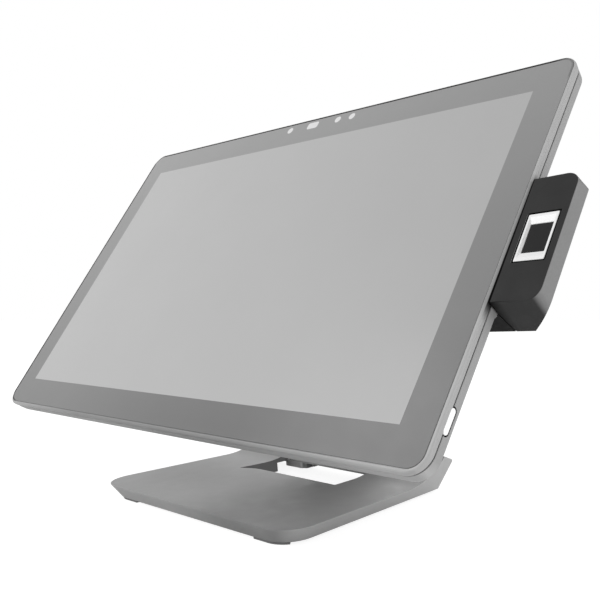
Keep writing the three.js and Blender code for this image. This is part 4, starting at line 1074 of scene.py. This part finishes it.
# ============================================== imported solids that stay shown
for name, mat, bevel in [
    ("reader_rear_shell", "hook", 0.35), ("bottom_cover", "black", 0.3), ("ballast_plate", "steel", 0.0),
    ("foot_front_left", "pad", 0.3), ("foot_front_right", "pad", 0.3), ("foot_rear_left", "pad_rear", 0.3),
    ("foot_rear_right", "pad_rear", 0.3), ("lower_hinge_bracket_left", "steel", 0.35),
    ("lower_hinge_bracket_right", "steel", 0.35), ("lower_hinge_pin", "steel", 0.3), ("support_arm", "arm", 0.8),
    ("arm_cover", "shell", 0.5), ("head_cable", "rubber", 0.0), ("lower_washer_right", "brass", 0.15),
    ("lower_washer_left", "brass", 0.15), ("upper_washer_right", "brass", 0.15), ("upper_washer_left", "brass", 0.15),
    ("lcd_cell", "black", 0.0), ("backlight_unit", "aluminium", 0.0), ("chassis_plate", "steel", 0.0),
    ("mainboard", "board", 0.0), ("heatsink", "aluminium", 0.0), ("blower_housing", "black", 0.0),
    ("blower_wheel", "dark", 0.0), ("storage_drive", "aluminium", 0.3), ("power_board", "board", 0.0),
    ("speaker_left", "black", 0.3), ("speaker_right", "black", 0.3), ("sensor_board", "board", 0.0),
    ("camera_barrel_left", "black", 0.2), ("camera_barrel_right", "black", 0.2), ("light_sensor", "dark", 0.2),
    ("status_lamp", "white", 0.2), ("port_panel", "steel", 0.15), ("port_board", "black", 0.15),
    ("button_board", "board", 0.0), ("head_bracket", "steel", 0.5), ("tilt_pin", "steel", 0.3),
    ("reader_board", "board", 0.0),
]:
    dress_node(name, MAT[mat], bevel)

# ================================================================== studio
g = Graph("floor_paper")
g.link(g.grey(g.ramp(g.noise(3.0, 3.0), 0.3, 0.7, 0.84, 0.88)), g.bsdf.inputs["Base Color"])
g.bsdf.inputs["Roughness"].default_value = 0.9
g.bsdf.inputs["Specular IOR Level"].default_value = 0.1
seen = g.add("ShaderNodeLightPath").outputs["Is Camera Ray"]
glow = g.add("ShaderNodeEmission")
glow.inputs["Strength"].default_value = 1.3
both = g.add("ShaderNodeMixShader")
g.link(g.math("MULTIPLY", seen, 0.68), both.inputs[0])
g.link(g.bsdf.outputs[0], both.inputs[1])
g.link(glow.outputs[0], both.inputs[2])
g.link(both.outputs[0], g.tree.nodes["Material Output"].inputs["Surface"])
body = Body()
rim_pts = circle(20000, 0, 0, 96)
body.face(body.ring(at(rim_pts, 0.0)))
floor = to_object("floor", body, PLACE_ROW, (g.mat,))

world = bpy.data.worlds.new("studio")
scene.world = world
world.use_nodes = True
sky = world.node_tree.nodes["Background"]
sky.inputs["Color"].default_value = (1, 1, 1, 1)
seen = world.node_tree.nodes.new("ShaderNodeLightPath")
strength = world.node_tree.nodes.new("ShaderNodeMapRange")
strength.inputs["To Min"].default_value = 0.56
strength.inputs["To Max"].default_value = 1.0
world.node_tree.links.new(seen.outputs["Is Camera Ray"], strength.inputs["Value"])
world.node_tree.links.new(strength.outputs["Result"], sky.inputs["Strength"])


def lamp(name, where, aim, size, watts, size_y=None):
    data = bpy.data.lights.new(name, "AREA")
    data.energy = watts
    data.size = size
    if size_y:
        data.shape = "RECTANGLE"
        data.size_y = size_y
    obj = bpy.data.objects.new(name, data)
    COLLECTION.objects.link(obj)
    obj.location = where
    obj.rotation_mode = "QUATERNION"
    obj.rotation_quaternion = (Vector(aim) - Vector(where)).to_track_quat("-Z", "Y")
    return obj


lamp("key_left", (-1.3, -1.5, 1.5), (0, 0, 0.15), 1.4, 22)
lamp("side_right", (1.7, 0.1, 0.75), (0.1, 0, 0.18), 1.1, 6)
lamp("rear_fill", (-1.0, 1.6, 1.15), (0, 0, 0.1), 1.4, 14)

# ================================================================== camera
CAM_ROT = Matrix(((0.84027653, 0.31611428, -0.44046238), (-0.12609551, 0.90409524, 0.40830347), (0.5272905, -0.2875475, 0.7995506)))
CAM_T = Vector((-206.77224662, 170.67620927, -517.19026577))
cam_data = bpy.data.cameras.new("camera")
camera = bpy.data.objects.new("camera", cam_data)
COLLECTION.objects.link(camera)
head_rot = PLACE_HEAD.to_3x3()
where = (PLACE_HEAD @ (-(CAM_ROT.transposed() @ CAM_T))) * MM
turn = (CAM_ROT @ head_rot.transposed()).transposed()
camera.matrix_world = Matrix.Translation(where) @ turn.to_4x4()
cam_data.sensor_width = 36.0
cam_data.sensor_fit = "HORIZONTAL"
cam_data.lens = 602.86499 * 36.0 / 600.0
cam_data.clip_start, cam_data.clip_end = 0.01, 100.0
# The picture is off the lens axis at the main viewpoint only; anywhere else the lens is centred.
for path, amount in (("shift_x", (300 - 483.29686) / 600), ("shift_y", (457.90276 - 300) / 600)):
    curve = cam_data.driver_add(path)
    var = curve.driver.variables.new()
    var.name = "x"
    var.type = "TRANSFORMS"
    var.targets[0].id = camera
    var.targets[0].transform_type = "LOC_X"
    var.targets[0].transform_space = "WORLD_SPACE"
    curve.driver.expression = f"({amount:.6f} if abs(x - {where.x:.6f}) < 0.0005 else 0.0)"
scene.camera = camera
scene.view_settings.view_transform = "Standard"
